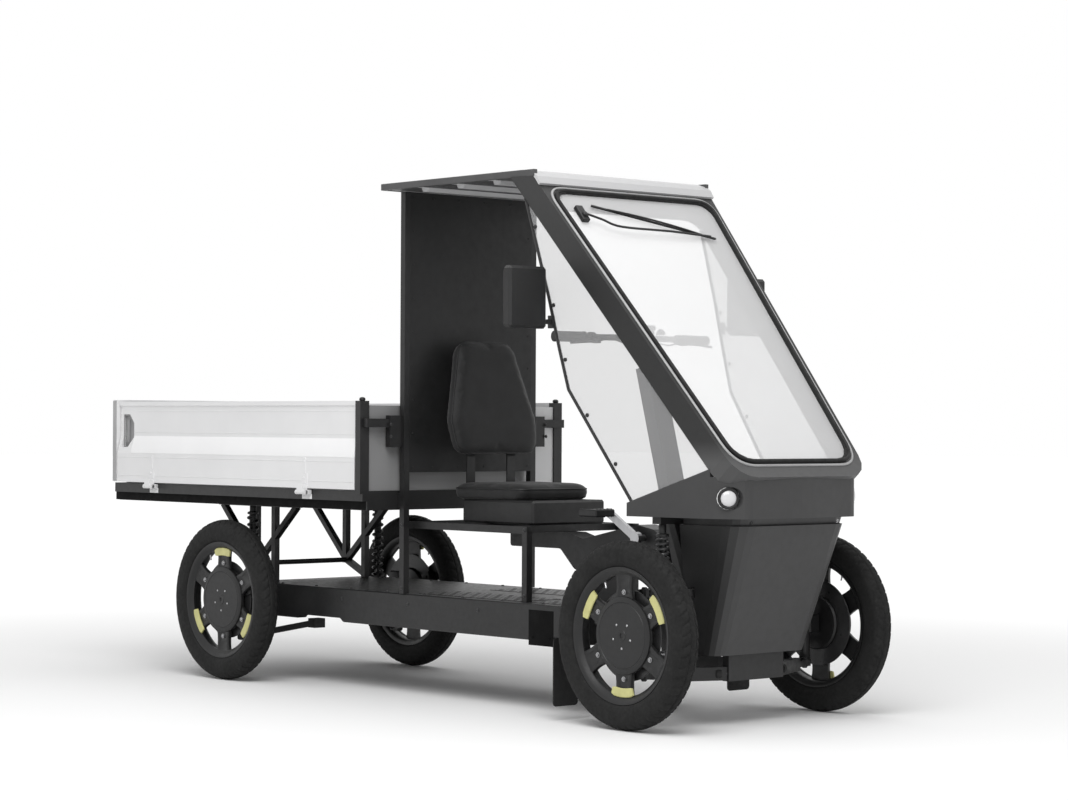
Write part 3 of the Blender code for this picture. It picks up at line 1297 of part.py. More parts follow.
def cross_tube(finish):
    """The tube between the two side frames."""
    reach = TRUSS_Y - 0.012 - GAP
    x, z = REAR_AXLE_X + TRUSS_KNOT[0], TRUSS_KNOT[1]
    tube = rod((x, -reach, z), (x, reach, z), 0.010, 12)
    return part("cross_tube", finish["black_paint"], [tube], smooth=35)


def tail_lamp(side, finish):
    """A rear lamp on the bed's rear rail."""
    x = BED_REAR_X - GAP
    inner, outer = BED_HALF - 0.108, BED_HALF - 0.030
    low, high = RAIL_BOTTOM + 0.007, RAIL_BOTTOM + 0.048
    body = block((x - 0.014, side * inner, low), (x, side * outer, high), 0.004)
    return part("tail_lamp_" + side_name(side), finish["red_lamp"], [body])


def build():
    """Make every sub-part and its joint empties."""
    clear_scene()
    finish = paints()
    floor_platform(finish)
    tube_frame(finish)
    rear_wall(finish)
    seat(finish)
    main_beam(finish)
    front_subframe(finish)
    steering_column(finish)
    cab_frame(finish)
    windscreen(finish)
    roof_panel(finish)
    nose_band(finish)
    nose_panel(finish)
    bed_frame(finish)
    headboard(finish)
    cross_tube(finish)
    for side in (-1, 1):
        side_screen(side, finish)
        screen_edge(side, finish)
        headlamp(side, finish)
        mirror(side, finish)
        mudflap(side, finish)
        rear_carrier(side, finish)
        rear_shock(side, finish)
        front_shock(side, finish)
        bed_truss(side, finish)
        tail_lamp(side, finish)
        wheel("rear", side, REAR_AXLE_X, finish)
        kingpin = knuckle(side, finish)
        wheel("front", side, FRONT_AXLE_X, finish, kingpin)
        side_board(side, finish)
    tie_rod(finish, kingpin)
    spindle = crank(finish)
    for side in (-1, 1):
        pedal(side, finish, spindle)
    handlebar(finish)
    tailgate(finish)


build()
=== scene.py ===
"""Looks of the four-wheeled cargo bike: finishes, wheels, springs, seat, glass, lamps and small fittings.

Metres, +X forward, +Y to the rider's left, +Z up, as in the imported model.
"""

import json
from math import atan2, cos, pi, radians, sin

import bmesh
import bpy
from mathutils import Matrix, Vector
from mathutils.bvhtree import BVHTree


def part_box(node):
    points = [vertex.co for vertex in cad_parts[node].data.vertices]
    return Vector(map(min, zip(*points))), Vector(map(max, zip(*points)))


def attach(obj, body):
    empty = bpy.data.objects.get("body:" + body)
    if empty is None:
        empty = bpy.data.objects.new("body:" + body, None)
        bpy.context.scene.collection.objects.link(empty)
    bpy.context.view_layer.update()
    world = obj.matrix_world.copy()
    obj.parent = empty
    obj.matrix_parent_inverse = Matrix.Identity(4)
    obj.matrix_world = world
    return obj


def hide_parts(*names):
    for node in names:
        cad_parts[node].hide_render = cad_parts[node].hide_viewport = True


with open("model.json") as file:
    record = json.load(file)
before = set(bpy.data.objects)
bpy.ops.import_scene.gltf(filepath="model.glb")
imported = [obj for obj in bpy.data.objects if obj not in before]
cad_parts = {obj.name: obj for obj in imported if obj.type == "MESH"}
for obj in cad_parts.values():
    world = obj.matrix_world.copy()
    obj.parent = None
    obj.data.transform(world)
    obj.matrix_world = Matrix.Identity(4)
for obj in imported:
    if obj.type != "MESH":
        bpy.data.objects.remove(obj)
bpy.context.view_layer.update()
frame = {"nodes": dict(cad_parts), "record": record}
NODES = frame["nodes"]

# The photograph's camera
PHOTO_WIDTH = 1068
FOCAL_PIXELS = 2669.453
CAMERA_PLACE = (7.7506, -6.6102, 1.0177)
CAMERA_YAW = 2.4117
CAMERA_PITCH = 0.0086
CAMERA_ROLL = 0.0048

SIDES = (("left", 1), ("right", -1))
ENDS = ("front", "rear")

# Places on the part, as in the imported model
FRONT_AXLE_X = 1.361
REAR_AXLE_X = -0.925
KINGPIN_Y = 0.395
ARM_FEET = (-0.170, 0.125)
ARM_LEVELS = (0.1777, 0.4523)
POST_Y = 0.484


# Node helpers

class Graph:
    """A node tree with short ways to add and link nodes."""

    def __init__(self, tree):
        self.tree = tree

    def link(self, source, target):
        """Join two sockets."""
        self.tree.links.new(source, target)

    def add(self, kind, inputs=None, **settings):
        """A new node. Each input gets its value, or a link where the value is a socket."""
        node = self.tree.nodes.new(kind)
        for key, value in settings.items():
            setattr(node, key, value)
        for key, value in (inputs or {}).items():
            if isinstance(value, bpy.types.NodeSocket):
                self.link(value, node.inputs[key])
            else:
                node.inputs[key].default_value = value
        return node

    def maths(self, operation, first, second=0.0):
        """The result of one sum on two sockets or numbers."""
        return self.add("ShaderNodeMath", {0: first, 1: second}, operation=operation).outputs[0]

    def ramp(self, source, low, high, start=0.0, end=1.0, **settings):
        """Map a value from start..end to low..high."""
        inputs = {"Value": source, "From Min": start, "From Max": end, "To Min": low, "To Max": high}
        return self.add("ShaderNodeMapRange", inputs, **settings).outputs["Result"]


class Shader(Graph):
    """A Principled material with its node tree at hand."""

    def __init__(self, name, colour, roughness, metallic=0.0, alpha=1.0, coat=0.0, ior=1.45):
        self.name = name
        self.material = bpy.data.materials.new(name)
        self.material.use_nodes = True
        super().__init__(self.material.node_tree)
        self.main = self.tree.nodes["Principled BSDF"]
        self.colour = colour
        values = {"Base Color": (*colour, 1.0), "Roughness": roughness, "Metallic": metallic,
                  "Alpha": alpha, "Coat Weight": coat, "IOR": ior}
        for socket, value in values.items():
            self.set(socket, value)
        self.coordinates = self.add("ShaderNodeTexCoord").outputs

    def set(self, socket, value):
        """Set a value on the shader itself."""
        self.main.inputs[socket].default_value = value

    def noise(self, scale, detail=4.0, stretch=(1.0, 1.0, 1.0)):
        """Noise in object space, stretched along the axes."""
        mapping = self.add("ShaderNodeMapping", {"Vector": self.coordinates["Object"], "Scale": stretch})
        inputs = {"Vector": mapping.outputs["Vector"], "Scale": scale,
                  "Detail": detail, "Roughness": NOISE_ROUGHNESS}
        return self.add("ShaderNodeTexNoise", inputs).outputs["Fac"]

    def cells(self, scale, feature="DISTANCE_TO_EDGE"):
        """Cell pattern in object space."""
        inputs = {"Vector": self.coordinates["Object"], "Scale": scale}
        return self.add("ShaderNodeTexVoronoi", inputs, feature=feature).outputs["Distance"]

    def axis(self, output, letter):
        """One component of the object coordinates or of the object's normal."""
        return self.add("ShaderNodeSeparateXYZ", {"Vector": self.coordinates[output]}).outputs[letter]

    def mix_colour(self, factor, other):
        """Mix the base colour towards another by a factor."""
        inputs = {"A": (*self.colour, 1.0), "B": (*other, 1.0), "Factor": factor}
        mix = self.add("ShaderNodeMix", inputs, data_type="RGBA")
        self.link(mix.outputs["Result"], self.main.inputs["Base Color"])

    def vary_colour(self, source, other, start=0.35, end=0.65):
        """Mix the base colour towards another by a pattern."""
        self.mix_colour(self.ramp(source, 0.0, 1.0, start, end), other)

    def vary_roughness(self, source, low, high):
        """Roughness that follows a pattern."""
        self.link(self.ramp(source, low, high, 0.3, 0.7), self.main.inputs["Roughness"])

    def bump(self, source, strength, distance):
        """Bump from a pattern."""
        node = self.add("ShaderNodeBump", {"Height": source, "Strength": strength, "Distance": distance})
        self.link(node.outputs["Normal"], self.main.inputs["Normal"])


# Finishes

NOISE_ROUGHNESS = 0.55
FRAME_TOP = 2.0
# Heights and greys of the cab frame: the pale grey below 0.9 m is a painted highlight on the frame's lower
# lip, and the lighter grey at the top is painted light.
FRAME_LIGHT_BY_HEIGHT = ((0.80, 0.080), (0.89, 0.070), (0.96, 0.013), (1.25, 0.010), (1.80, 0.027))
ALONG_X = (0.02, 1.0, 1.0)


def grey(level, blue):
    """A grey with its own level of blue."""
    return (level, level, blue)


def powder_coat(name, colour, other, roughness):
    """Fine-textured powder coat on steel."""
    made = Shader(name, colour, roughness)
    made.vary_colour(made.noise(14.0, 6.0), other)
    made.vary_roughness(made.noise(60.0, 3.0), roughness - 0.06, roughness + 0.08)
    made.bump(made.noise(900.0, 2.0), 0.18, 0.0006)
    return made


def grained(name, colour, roughness, grain=700.0, depth=0.25):
    """Moulded plastic with a grain, without its change of tone."""
    made = Shader(name, colour, roughness)
    made.vary_roughness(made.noise(35.0, 4.0), roughness - 0.05, roughness + 0.07)
    made.bump(made.cells(grain), depth, 0.0005)
    return made


def moulded(name, colour, other, roughness, grain=700.0, depth=0.25):
    """Grained moulded plastic."""
    made = grained(name, colour, roughness, grain, depth)
    made.vary_colour(made.noise(9.0, 5.0), other)
    return made


def nose_skin(name, colour, cheek_shade):
    """Moulded plastic with painted shade on its side faces, which are darker than its front."""
    made = grained(name, colour, 0.46)
    # Painted shade: faces turned sideways get the darker grey.
    made.vary_colour(made.maths("ABSOLUTE", made.axis("Normal", "Y")), cheek_shade, 0.45, 0.90)
    return made


def frame_skin(name, lit_tones):
    """Moulded plastic with light painted by height, from pairs of height and grey: a painted highlight low
    down and a lighter painted top.
    """
    made = grained(name, (lit_tones[0][1],) * 3, 0.46)
    height = made.ramp(made.axis("Object", "Z"), 0.0, 1.0, 0.0, FRAME_TOP)
    ramp = made.add("ShaderNodeValToRGB", {"Fac": height})
    stops = ramp.color_ramp.elements
    while len(stops) < len(lit_tones):
        stops.new(0.5)
    for stop, (height, level) in zip(stops, lit_tones):
        stop.position = height / FRAME_TOP
        stop.color = (*grey(level, 1.01 * level), 1.0)
    made.link(ramp.outputs["Color"], made.main.inputs["Base Color"])
    return made


def extruded(name, colour, other, stretch=ALONG_X):
    """Anodised aluminium with fine drawing lines along its length."""
    made = Shader(name, colour, 0.42, metallic=0.12)
    lines = made.noise(260.0, 3.0, stretch)
    made.vary_colour(made.noise(5.0, 4.0), other, 0.3, 0.7)
    made.vary_roughness(lines, 0.36, 0.50)
    made.bump(lines, 0.10, 0.0004)
    return made


def head_sheet(name, colour, front):
    """Anodised sheet with painted shade of the cab wall on its face towards the cab, up to the wall's left
    edge.
    """
    made = Shader(name, colour, 0.42, metallic=0.12)
    # Painted shade: faces turned forward get the darker grey, short of the wall's left edge.
    ahead = made.ramp(made.axis("Normal", "X"), 0.0, 1.0, 0.4, 0.6)
    wall_shade_span = made.ramp(made.axis("Object", "Y"), 1.0, 0.0, 0.27, 0.33)
    made.vary_colour(made.maths("MULTIPLY", ahead, wall_shade_span), front, 0.0, 1.0)
    made.vary_roughness(made.noise(260.0, 3.0, (1.0, 0.02, 1.0)), 0.36, 0.50)
    return made


def clear_sheet(name, colour, alpha):
    """Clear sheet that carries the studio's white reflection."""
    made = Shader(name, colour, 0.04, alpha=alpha)
    made.vary_colour(made.noise(2.0, 2.0), tuple(0.97 * value for value in colour))
    return made


def make_finishes():
    """Every material of the object by its name."""
    tyre = Shader("tyre", grey(0.008, 0.008), 0.78)
    tyre.set("Specular IOR Level", 0.32)
    tyre.vary_colour(tyre.noise(22.0, 6.0), grey(0.013, 0.0128))
    tyre.vary_roughness(tyre.noise(90.0, 4.0), 0.68, 0.88)
    tyre.bump(tyre.noise(500.0, 3.0), 0.25, 0.0008)
    leather = Shader("seat", grey(0.006, 0.0062), 0.62)
    leather.set("Specular IOR Level", 0.38)
    leather.vary_colour(leather.noise(18.0, 5.0), grey(0.010, 0.0104))
    leather.bump(leather.cells(420.0), 0.45, 0.0009)
    leather.set("Sheen Weight", 0.15)
    steel = Shader("steel", grey(0.46, 0.47), 0.34, metallic=1.0)
    steel.vary_roughness(steel.noise(120.0, 4.0, (1.0, 1.0, 0.1)), 0.26, 0.44)
    lamp = Shader("lamp", grey(0.66, 0.67), 0.12, coat=0.6)
    lamp.bump(lamp.cells(160.0, "F1"), 0.12, 0.0008)
    reflector = Shader("reflector", (0.62, 0.60, 0.26), 0.32)
    reflector.bump(reflector.cells(300.0), 0.35, 0.0008)
    reflector.vary_colour(reflector.noise(30.0), (0.54, 0.52, 0.22))
    red = Shader("red_lamp", (0.36, 0.012, 0.010), 0.2, coat=0.5)
    red.bump(red.cells(220.0), 0.3, 0.0008)
    rubber = Shader("rubber", grey(0.010, 0.010), 0.72)
    rubber.vary_roughness(rubber.noise(50.0), 0.62, 0.84)
    rubber.bump(rubber.noise(600.0), 0.15, 0.0006)
    # A near-black used as painted shade on the bed's lower beams, and on the sill ends.
    black = Shader("shade_black", grey(0.0022, 0.0023), 0.62)
    black.set("Specular IOR Level", 0.10)
    black.vary_roughness(black.noise(40.0), 0.55, 0.70)
    black.bump(black.cells(600.0), 0.2, 0.0005)
    mirror = Shader("mirror", (0.80, 0.81, 0.82), 0.03, metallic=1.0)
    mirror.vary_roughness(mirror.noise(4.0), 0.02, 0.05)
    finishes = [
        tyre, leather, steel, lamp, reflector, red, rubber, black, mirror,
        powder_coat("black_paint", grey(0.010, 0.0103), grey(0.013, 0.0134), 0.42),
        powder_coat("bed_rail", grey(0.014, 0.0144), grey(0.017, 0.0174), 0.42),
        powder_coat("rim", grey(0.007, 0.0073), grey(0.010, 0.0104), 0.40),
        powder_coat("bolt", grey(0.030, 0.031), grey(0.045, 0.046), 0.35),
        powder_coat("disc", grey(0.020, 0.0205), grey(0.028, 0.0286), 0.32),
        moulded("dark_panel", grey(0.037, 0.0375), grey(0.041, 0.0416), 0.46),
        moulded("wall", grey(0.007, 0.0072), grey(0.009, 0.0093), 0.50),
        moulded("plastic", grey(0.009, 0.0093), grey(0.012, 0.0124), 0.44),
        moulded("edge_trim", grey(0.055, 0.056), grey(0.070, 0.071), 0.45),
        # A pale grey that paints the highlight along the frame's inner edge by the screen seal.
        moulded("bead", grey(0.34, 0.342), grey(0.40, 0.403), 0.3),
        moulded("latch", grey(0.26, 0.265), grey(0.30, 0.305), 0.4),
        moulded("cap", grey(0.36, 0.365), grey(0.40, 0.405), 0.5),
        moulded("hinge", grey(0.72, 0.725), grey(0.76, 0.765), 0.4),
        moulded("light_panel", grey(0.50, 0.505), grey(0.515, 0.52), 0.38, 500.0, 0.1),
        extruded("board", grey(0.80, 0.805), grey(0.76, 0.765)),
        # A pale grey for the painted highlight on the board shoulders.
        extruded("shoulder_highlight", grey(0.93, 0.935), grey(0.90, 0.905)),
        extruded("floor_sheet", grey(0.30, 0.31), grey(0.26, 0.27), (1.0, 1.0, 1.0)),
        # The headboard's second grey is the painted shade of the cab wall on its front face.
        head_sheet("headboard", grey(0.78, 0.785), grey(0.26, 0.262)),
        # The cab frame gets painted highlight and painted light by height.
        frame_skin("frame_skin", FRAME_LIGHT_BY_HEIGHT),
        # The nose panel's second grey is painted shade on its side faces.
        nose_skin("nose_skin", grey(0.041, 0.0416), grey(0.014, 0.0142)),
        clear_sheet("glass", grey(0.88, 0.885), 0.44),
        clear_sheet("side_glass", grey(0.50, 0.505), 0.28),
    ]
    return {finish.name: finish.material for finish in finishes}


FINISH = make_finishes()
OWN_FINISH = {"headboard": "headboard", "bed_frame": "bed_rail",
              "nose_panel": "nose_skin", "cab_frame": "frame_skin"}


def dress_nodes():
    """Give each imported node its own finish, or else its slot's."""
    for row in frame["record"]["subparts"]:
        slots = NODES[row["node"]].data.materials
        slots.clear()
        slots.append(FINISH[OWN_FINISH.get(row["node"], row["material_slot"])])


# Shape helpers

ON_AXIS = 1e-6


def finish_bmesh(bm, name):
    """A mesh with outward faces from a bmesh."""
    bmesh.ops.recalc_face_normals(bm, faces=bm.faces)
    mesh = bpy.data.meshes.new(name)
    bm.to_mesh(mesh)
    bm.free()
    return mesh


def place(name, bm, body, slot, material=None, smooth=35.0):
    """Put a bmesh in the scene as a piece on a body, with a slot's finish."""
    mesh = finish_bmesh(bm, name)
    obj = bpy.data.objects.new(name, mesh)
    bpy.context.scene.collection.objects.link(obj)
    mesh.materials.append(FINISH[material or slot])
    if smooth:
        mesh.shade_smooth()
        mesh.set_sharp_from_angle(angle=radians(smooth))
    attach(obj, body)
    return obj


def spin_matrix(centre, axis):
    """Local Z along an axis, at a centre."""
    axis = Vector(axis).normalized()
    side = Vector((0, 0, 1)) if abs(axis.z) < 0.9 else Vector((1, 0, 0))
    side = (side - axis * side.dot(axis)).normalized()
    turn = Matrix((side, axis.cross(side), axis)).transposed().to_4x4()
    return Matrix.Translation(Vector(centre)) @ turn


def polar(radius, angle, height):
    """A point from its distance to local Z, its angle and its height."""
    return Vector((radius * cos(angle), radius * sin(angle), height))


def ring_pairs(rings, closed):
    """Each loop with the next, and the last with the first where the row is closed."""
    return list(zip(rings, rings[1:])) + ([(rings[-1], rings[0])] if closed else [])


def join_rings(bm, rings, closed=False):
    """Faces between equal loops of vertices, with a cap on each end of an open row."""
    for first, second in ring_pairs(rings, closed):
        for k in range(len(first)):
            after = (k + 1) % len(first)
            bm.faces.new((first[k], first[after], second[after], second[k]))
    if not closed:
        bm.faces.new(rings[0])
        bm.faces.new(list(reversed(rings[-1])))


def add_loft(bm, sections, closed=False):
    """A body through equal loops of points."""
    join_rings(bm, [[bm.verts.new(point) for point in section] for section in sections], closed)


def add_lathe(bm, profile, steps, matrix, closed=False):
    """Turn a profile of (radius, height) about local Z into a bmesh. Points on the axis become poles."""
    rings = []
    for radius, height in profile:
        turns = [2 * pi * step / steps for step in range(steps if radius > ON_AXIS else 1)]
        rings.append([bm.verts.new(matrix @ polar(radius, turn, height)) for turn in turns])
    for first, second in ring_pairs(rings, closed):
        for step in range(steps):
            after = (step + 1) % steps
            corners = [first[after], first[step]] if len(first) > 1 else [first[0]]
            corners += [second[step], second[after]] if len(second) > 1 else [second[0]]
            if len(corners) > 2:
                bm.faces.new(corners)


def add_box(bm, low, high, bevel=0.0, segments=2, matrix=Matrix()):
    """A bevelled box between two corners."""
    low, high = Vector(low), Vector(high)
    low, high = Vector(map(min, low, high)), Vector(map(max, low, high))
    size = Matrix.Diagonal((*(high - low), 1.0))
    made = bmesh.ops.create_cube(bm, size=1.0, matrix=matrix @ Matrix.Translation((low + high) / 2) @ size)
    if bevel:
        edges = list({edge for vert in made["verts"] for edge in vert.link_edges})
        bmesh.ops.bevel(bm, geom=edges, offset=bevel, segments=segments, profile=0.7, affect="EDGES")


def add_tube(bm, points, radius, sides=8, closed=False):
    """A round tube along points, with flat ends. The radius is one value or one for each point."""
    points = [Vector(point) for point in points]
    last = len(points) - 1
    side = None
    sections = []
    for index, point in enumerate(points):
        before = points[index - 1] if index or closed else point
        after = points[index + 1 if index < last else 0] if index < last or closed else point
        along = (after - before).normalized()
        if side is None:
            side = Vector((0, 0, 1)) if abs(along.z) < 0.9 else Vector((1, 0, 0))
        side = (side - along * side.dot(along)).normalized()
        other = along.cross(side)
        size = radius[index] if hasattr(radius, "__len__") else radius
        turns = [2 * pi * k / sides for k in range(sides)]
        sections.append([point + size * (cos(turn) * side + sin(turn) * other) for turn in turns])
    add_loft(bm, sections, closed)


def add_bolt(bm, centre, axis, radius=0.006, height=0.005):
    """A domed round head with a washer and a socket."""
    washer = radius * 1.35
    profile = [
        (0.0, height * 0.55), (radius * 0.45, height * 0.55), (radius * 0.5, height),
        (radius * 0.8, height * 0.95), (radius, height * 0.5), (radius, height * 0.2),
        (washer, height * 0.2), (washer, -0.0005), (0.0, -0.0005),
    ]
    add_lathe(bm, profile, 12, spin_matrix(centre, axis))


def smooth_through(points, steps):
    """Points on a Catmull-Rom curve through the given ones."""
    points = [Vector(point) for point in points]
    padded = [points[0] * 2 - points[1]] + points + [points[-1] * 2 - points[-2]]
    made = []
    for index in range(1, len(padded) - 2):
        p0, p1, p2, p3 = padded[index - 1:index + 3]
        for step in range(steps):
            t = step / steps
            made.append(0.5 * ((2 * p1) + (p2 - p0) * t + (2 * p0 - 5 * p1 + 4 * p2 - p3) * t * t
                               + (3 * p1 - p0 - 3 * p2 + p3) * t ** 3))
    made.append(points[-1])
    return made


# Wheels

TREAD_STEPS = 432
TREAD_BLOCKS = 54
TREAD_FROM = 0.296
GROOVE = (0.0085, 0.0125)
SIDE_RIBS = ((0.2475, 0.2500), (0.2860, 0.2880))
SPOKES = 6
SPOKE_ROOT = 0.118
SPOKE_TIP = 0.206
SPOKE_FACE = 0.016
HUB_FACE = 0.026
DISC_INNER = 0.0955
DISC_OUTER = 0.152
DISC_FACES = (-0.0135, -0.0085)
CALIPER_ANGLE = {"front": 160.0, "rear": 20.0}
FIRST_REFLECTOR = {"front": 180.0, "rear": 0.0}


def axle_of(end, side):
    """The wheel's centre, from its node's box."""
    low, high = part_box(f"tyre_{end}_{side}")
    return (low + high) / 2


def tyre_section():
    """Half of the tyre's outside from the bead up to the crown, as (radius, height)."""
    points = [(0.2223, 0.0250, 0), (0.2290, 0.0285, 0), (0.2330, 0.0350, 0), (0.2430, 0.0400, 0),
              (0.2580, 0.0422, 0), (0.2740, 0.0418, 0), (0.2880, 0.0390, 0), (0.2990, 0.0340, 0),
              (0.3070, 0.0260, 0), (0.3125, 0.0150, 0), (0.3148, 0.0050, 0)]
    return [(point.x, point.y) for point in smooth_through(points, 3)]


def groove_depth(angle, height, radius):
    """How deep the tread is cut at a place."""
    if radius < TREAD_FROM:
        return 0.0
    inner, outer = GROOVE
    blocks = angle / (2 * pi) * TREAD_BLOCKS
    depth = 0.0
    if inner < abs(height) < outer:
        depth = 0.0035
    if abs(height) > outer and (blocks + abs(height) * 22.0 + (0.5 if height > 0 else 0.0)) % 1.0 < 0.26:
        depth = 0.0035
    if abs(height) < inner and (blocks + height * 30.0) % 1.0 < 0.13:
        depth = 0.0022
    return depth


def sidewall_ribs(radius, height):
    """Small raised rings on the sidewall."""
    ring = 0.0007 if any(low < radius < high for low, high in SIDE_RIBS) else 0.0
    return ring if height > 0 else -ring


def make_tyre(end, side, name):
    """A road tyre with grooved tread, for one wheel."""
    half = tyre_section()
    section = half + [(radius, -height) for radius, height in reversed(half)]
    matrix = spin_matrix(axle_of(end, name), (0, side, 0))
    sections = []
    for step in range(TREAD_STEPS):
        angle = 2 * pi * step / TREAD_STEPS
        sections.append([])
        for radius, height in section:
            out = radius - groove_depth(angle, height, radius)
            spot = polar(out, angle, height + sidewall_ribs(radius, height))
            sections[-1].append(matrix @ spot)
    bm = bmesh.new()
    add_loft(bm, sections, closed=True)
    piece = place(f"tyre_tread_{end}_{name}", bm, f"wheel_{end}_{name}", "tyre", smooth=40.0)
    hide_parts(f"tyre_{end}_{name}")


def add_spoke(bm, matrix, angle):
    """One broad spoke with a sunk face and rounded edges."""
    turn = matrix @ Matrix.Rotation(angle, 4, "Z")
    sections = []
    for share in (0.0, 0.12, 0.3, 0.5, 0.7, 0.86, 1.0):
        radius = SPOKE_ROOT + (SPOKE_TIP - SPOKE_ROOT) * share
        half = 0.037 * (1.0 + 0.16 * (2 * share - 1) ** 2)
        dish = 0.0035 * sin(pi * share)
        edge = [(half, 0.001), (half, SPOKE_FACE - 0.005), (half - 0.002, SPOKE_FACE - 0.0015),
                (half - 0.006, SPOKE_FACE), (half - 0.014, SPOKE_FACE), (half - 0.018, SPOKE_FACE - dish)]
        edge += [(-across, height) for across, height in reversed(edge)]
        sections.append([turn @ Vector((radius, across, height)) for across, height in edge])
    add_loft(bm, sections)


def make_rim(end, side, name):
    """A six-spoke rim round a hub motor with its bolts and valve, and the brake and reflectors on it."""
    matrix = spin_matrix(axle_of(end, name), (0, side, 0))
    body = f"wheel_{end}_{name}"
    bm = bmesh.new()
    barrel = [
        (0.2285, 0.0320), (0.2285, 0.0295), (0.2255, 0.0285), (0.2219, 0.0275), (0.2215, 0.0180),
        (0.2120, 0.0120), (0.2100, 0.0), (0.2120, -0.0120), (0.2215, -0.0180), (0.2219, -0.0275),
        (0.2255, -0.0285), (0.2285, -0.0295), (0.2285, -0.0320), (0.2230, -0.0318), (0.2130, -0.0280),
        (0.2060, -0.0200), (0.2035, -0.0050), (0.2035, 0.0060), (0.2010, 0.0085), (0.2010, 0.0150),
        (0.2060, 0.0185), (0.2140, 0.0280), (0.2230, 0.0318),
    ]
    add_lathe(bm, barrel, 96, matrix, closed=True)
    front = [(0.0, 0.0030), (0.0075, 0.0030), (0.0085, 0.0005), (0.0120, 0.0), (0.0180, 0.0),
             (0.0190, 0.0012), (0.1080, 0.0022), (0.1092, 0.0034), (0.1108, 0.0034), (0.1120, 0.0022),
             (0.1220, 0.0030), (0.1285, 0.0060), (0.1300, 0.0100)]
    back = [(0.1300, 0.0080), (0.1240, 0.0020), (0.0960, 0.0), (0.0950, -0.0200), (0.0900, -0.0260),
            (0.0400, -0.0280), (0.0300, -0.0298), (0.0, -0.0298)]
    add_lathe(bm, [(radius, HUB_FACE - depth) for radius, depth in front] + back, 96, matrix)
    for index in range(SPOKES):
        add_spoke(bm, matrix, radians(360.0 / SPOKES * index))
    piece = place(f"rim_spokes_{end}_{name}", bm, body, "rim", smooth=32.0)
    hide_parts(f"rim_{end}_{name}")

    bm = bmesh.new()
    circles = ((SPOKES, 0.0, 0.1440, SPOKE_FACE - 0.002, 0.0065, 0.006),
               (5, 36.0, 0.0420, HUB_FACE - 0.0018, 0.0035, 0.0016))
    for count, first, radius, height, head, rise in circles:
        for index in range(count):
            spot = matrix @ polar(radius, radians(first + 360.0 / count * index), height)
            add_bolt(bm, spot, (0, side, 0), head, rise)
    foot = matrix @ polar(0.2080, radians(30.0), 0.004)
    tip = matrix @ polar(0.1760, radians(30.0), 0.012)
    add_tube(bm, [foot, foot.lerp(tip, 0.6), foot.lerp(tip, 0.62), tip], [0.0042, 0.0042, 0.0030, 0.0030])
    place(f"rim_bolts_{end}_{name}", bm, body, "steel")
    make_brake(end, side, name, matrix)
    make_reflectors(end, name, matrix)


def make_brake(end, side, name, matrix):
    """A brake disc behind the spokes, and its caliper and bracket on what carries the wheel."""
    inner, outer = DISC_FACES
    bm = bmesh.new()
    profile = [(DISC_INNER, inner), (DISC_OUTER - 0.001, inner), (DISC_OUTER, inner + 0.001),
               (DISC_OUTER, outer - 0.001), (DISC_OUTER - 0.001, outer), (0.1210, outer),
               (0.1200, outer - 0.0008), (0.1190, outer), (DISC_INNER, outer)]
    add_lathe(bm, profile, 72, matrix, closed=True)
    place(f"brake_disc_{end}_{name}", bm, f"wheel_{end}_{name}", "steel", "disc")
    bm = bmesh.new()
    turn = Matrix.Translation(axle_of(end, name)) @ Matrix.Rotation(-radians(CALIPER_ANGLE[end]), 4, "Y")
    for low, high, bevel in (((0.116, -0.036, -0.034), (0.164, -0.0155, 0.034), 0.006),
                             ((0.155, -0.020, -0.026), (0.164, -0.0035, 0.026), 0.002),
                             ((0.122, -0.0065, -0.026), (0.160, -0.0020, 0.026), 0.0015),
                             ((0.020, -0.0395, -0.020), (0.150, -0.0345, 0.020), 0.0015)):
        add_box(bm, (low[0], side * low[1], low[2]), (high[0], side * high[1], high[2]), bevel, 2, turn)
    holder = f"knuckle_{name}" if end == "front" else "chassis"
    place(f"brake_caliper_{end}_{name}", bm, holder, "plastic")


def make_reflectors(end, name, matrix):
    """Three pale-yellow reflectors on alternate spokes."""
    bm = bmesh.new()
    for index in range(3):
        middle = radians(FIRST_REFLECTOR[end] + 120.0 * index)
        sections = []
        for share in range(9):
            angle = middle + radians(30.0) * (share / 8 - 0.5)
            inset = 0.0035 if share in (0, 8) else 0.0
            low, high = 0.1740 + inset, 0.2045 - inset
            profile = ((low, 0.0), (low, 0.0045), (low + 0.0025, 0.0065),
                       (high - 0.0025, 0.0065), (high, 0.0045), (high, 0.0))
            spots = [polar(radius, angle, SPOKE_FACE - 0.001 + height) for radius, height in profile]
            sections.append([matrix @ spot for spot in spots])
        add_loft(bm, sections)
    place(f"reflectors_{end}_{name}", bm, f"wheel_{end}_{name}", "lamp", "reflector")


# Springs

SPRING_WIRE = 0.0052
STEPS_A_TURN = 20


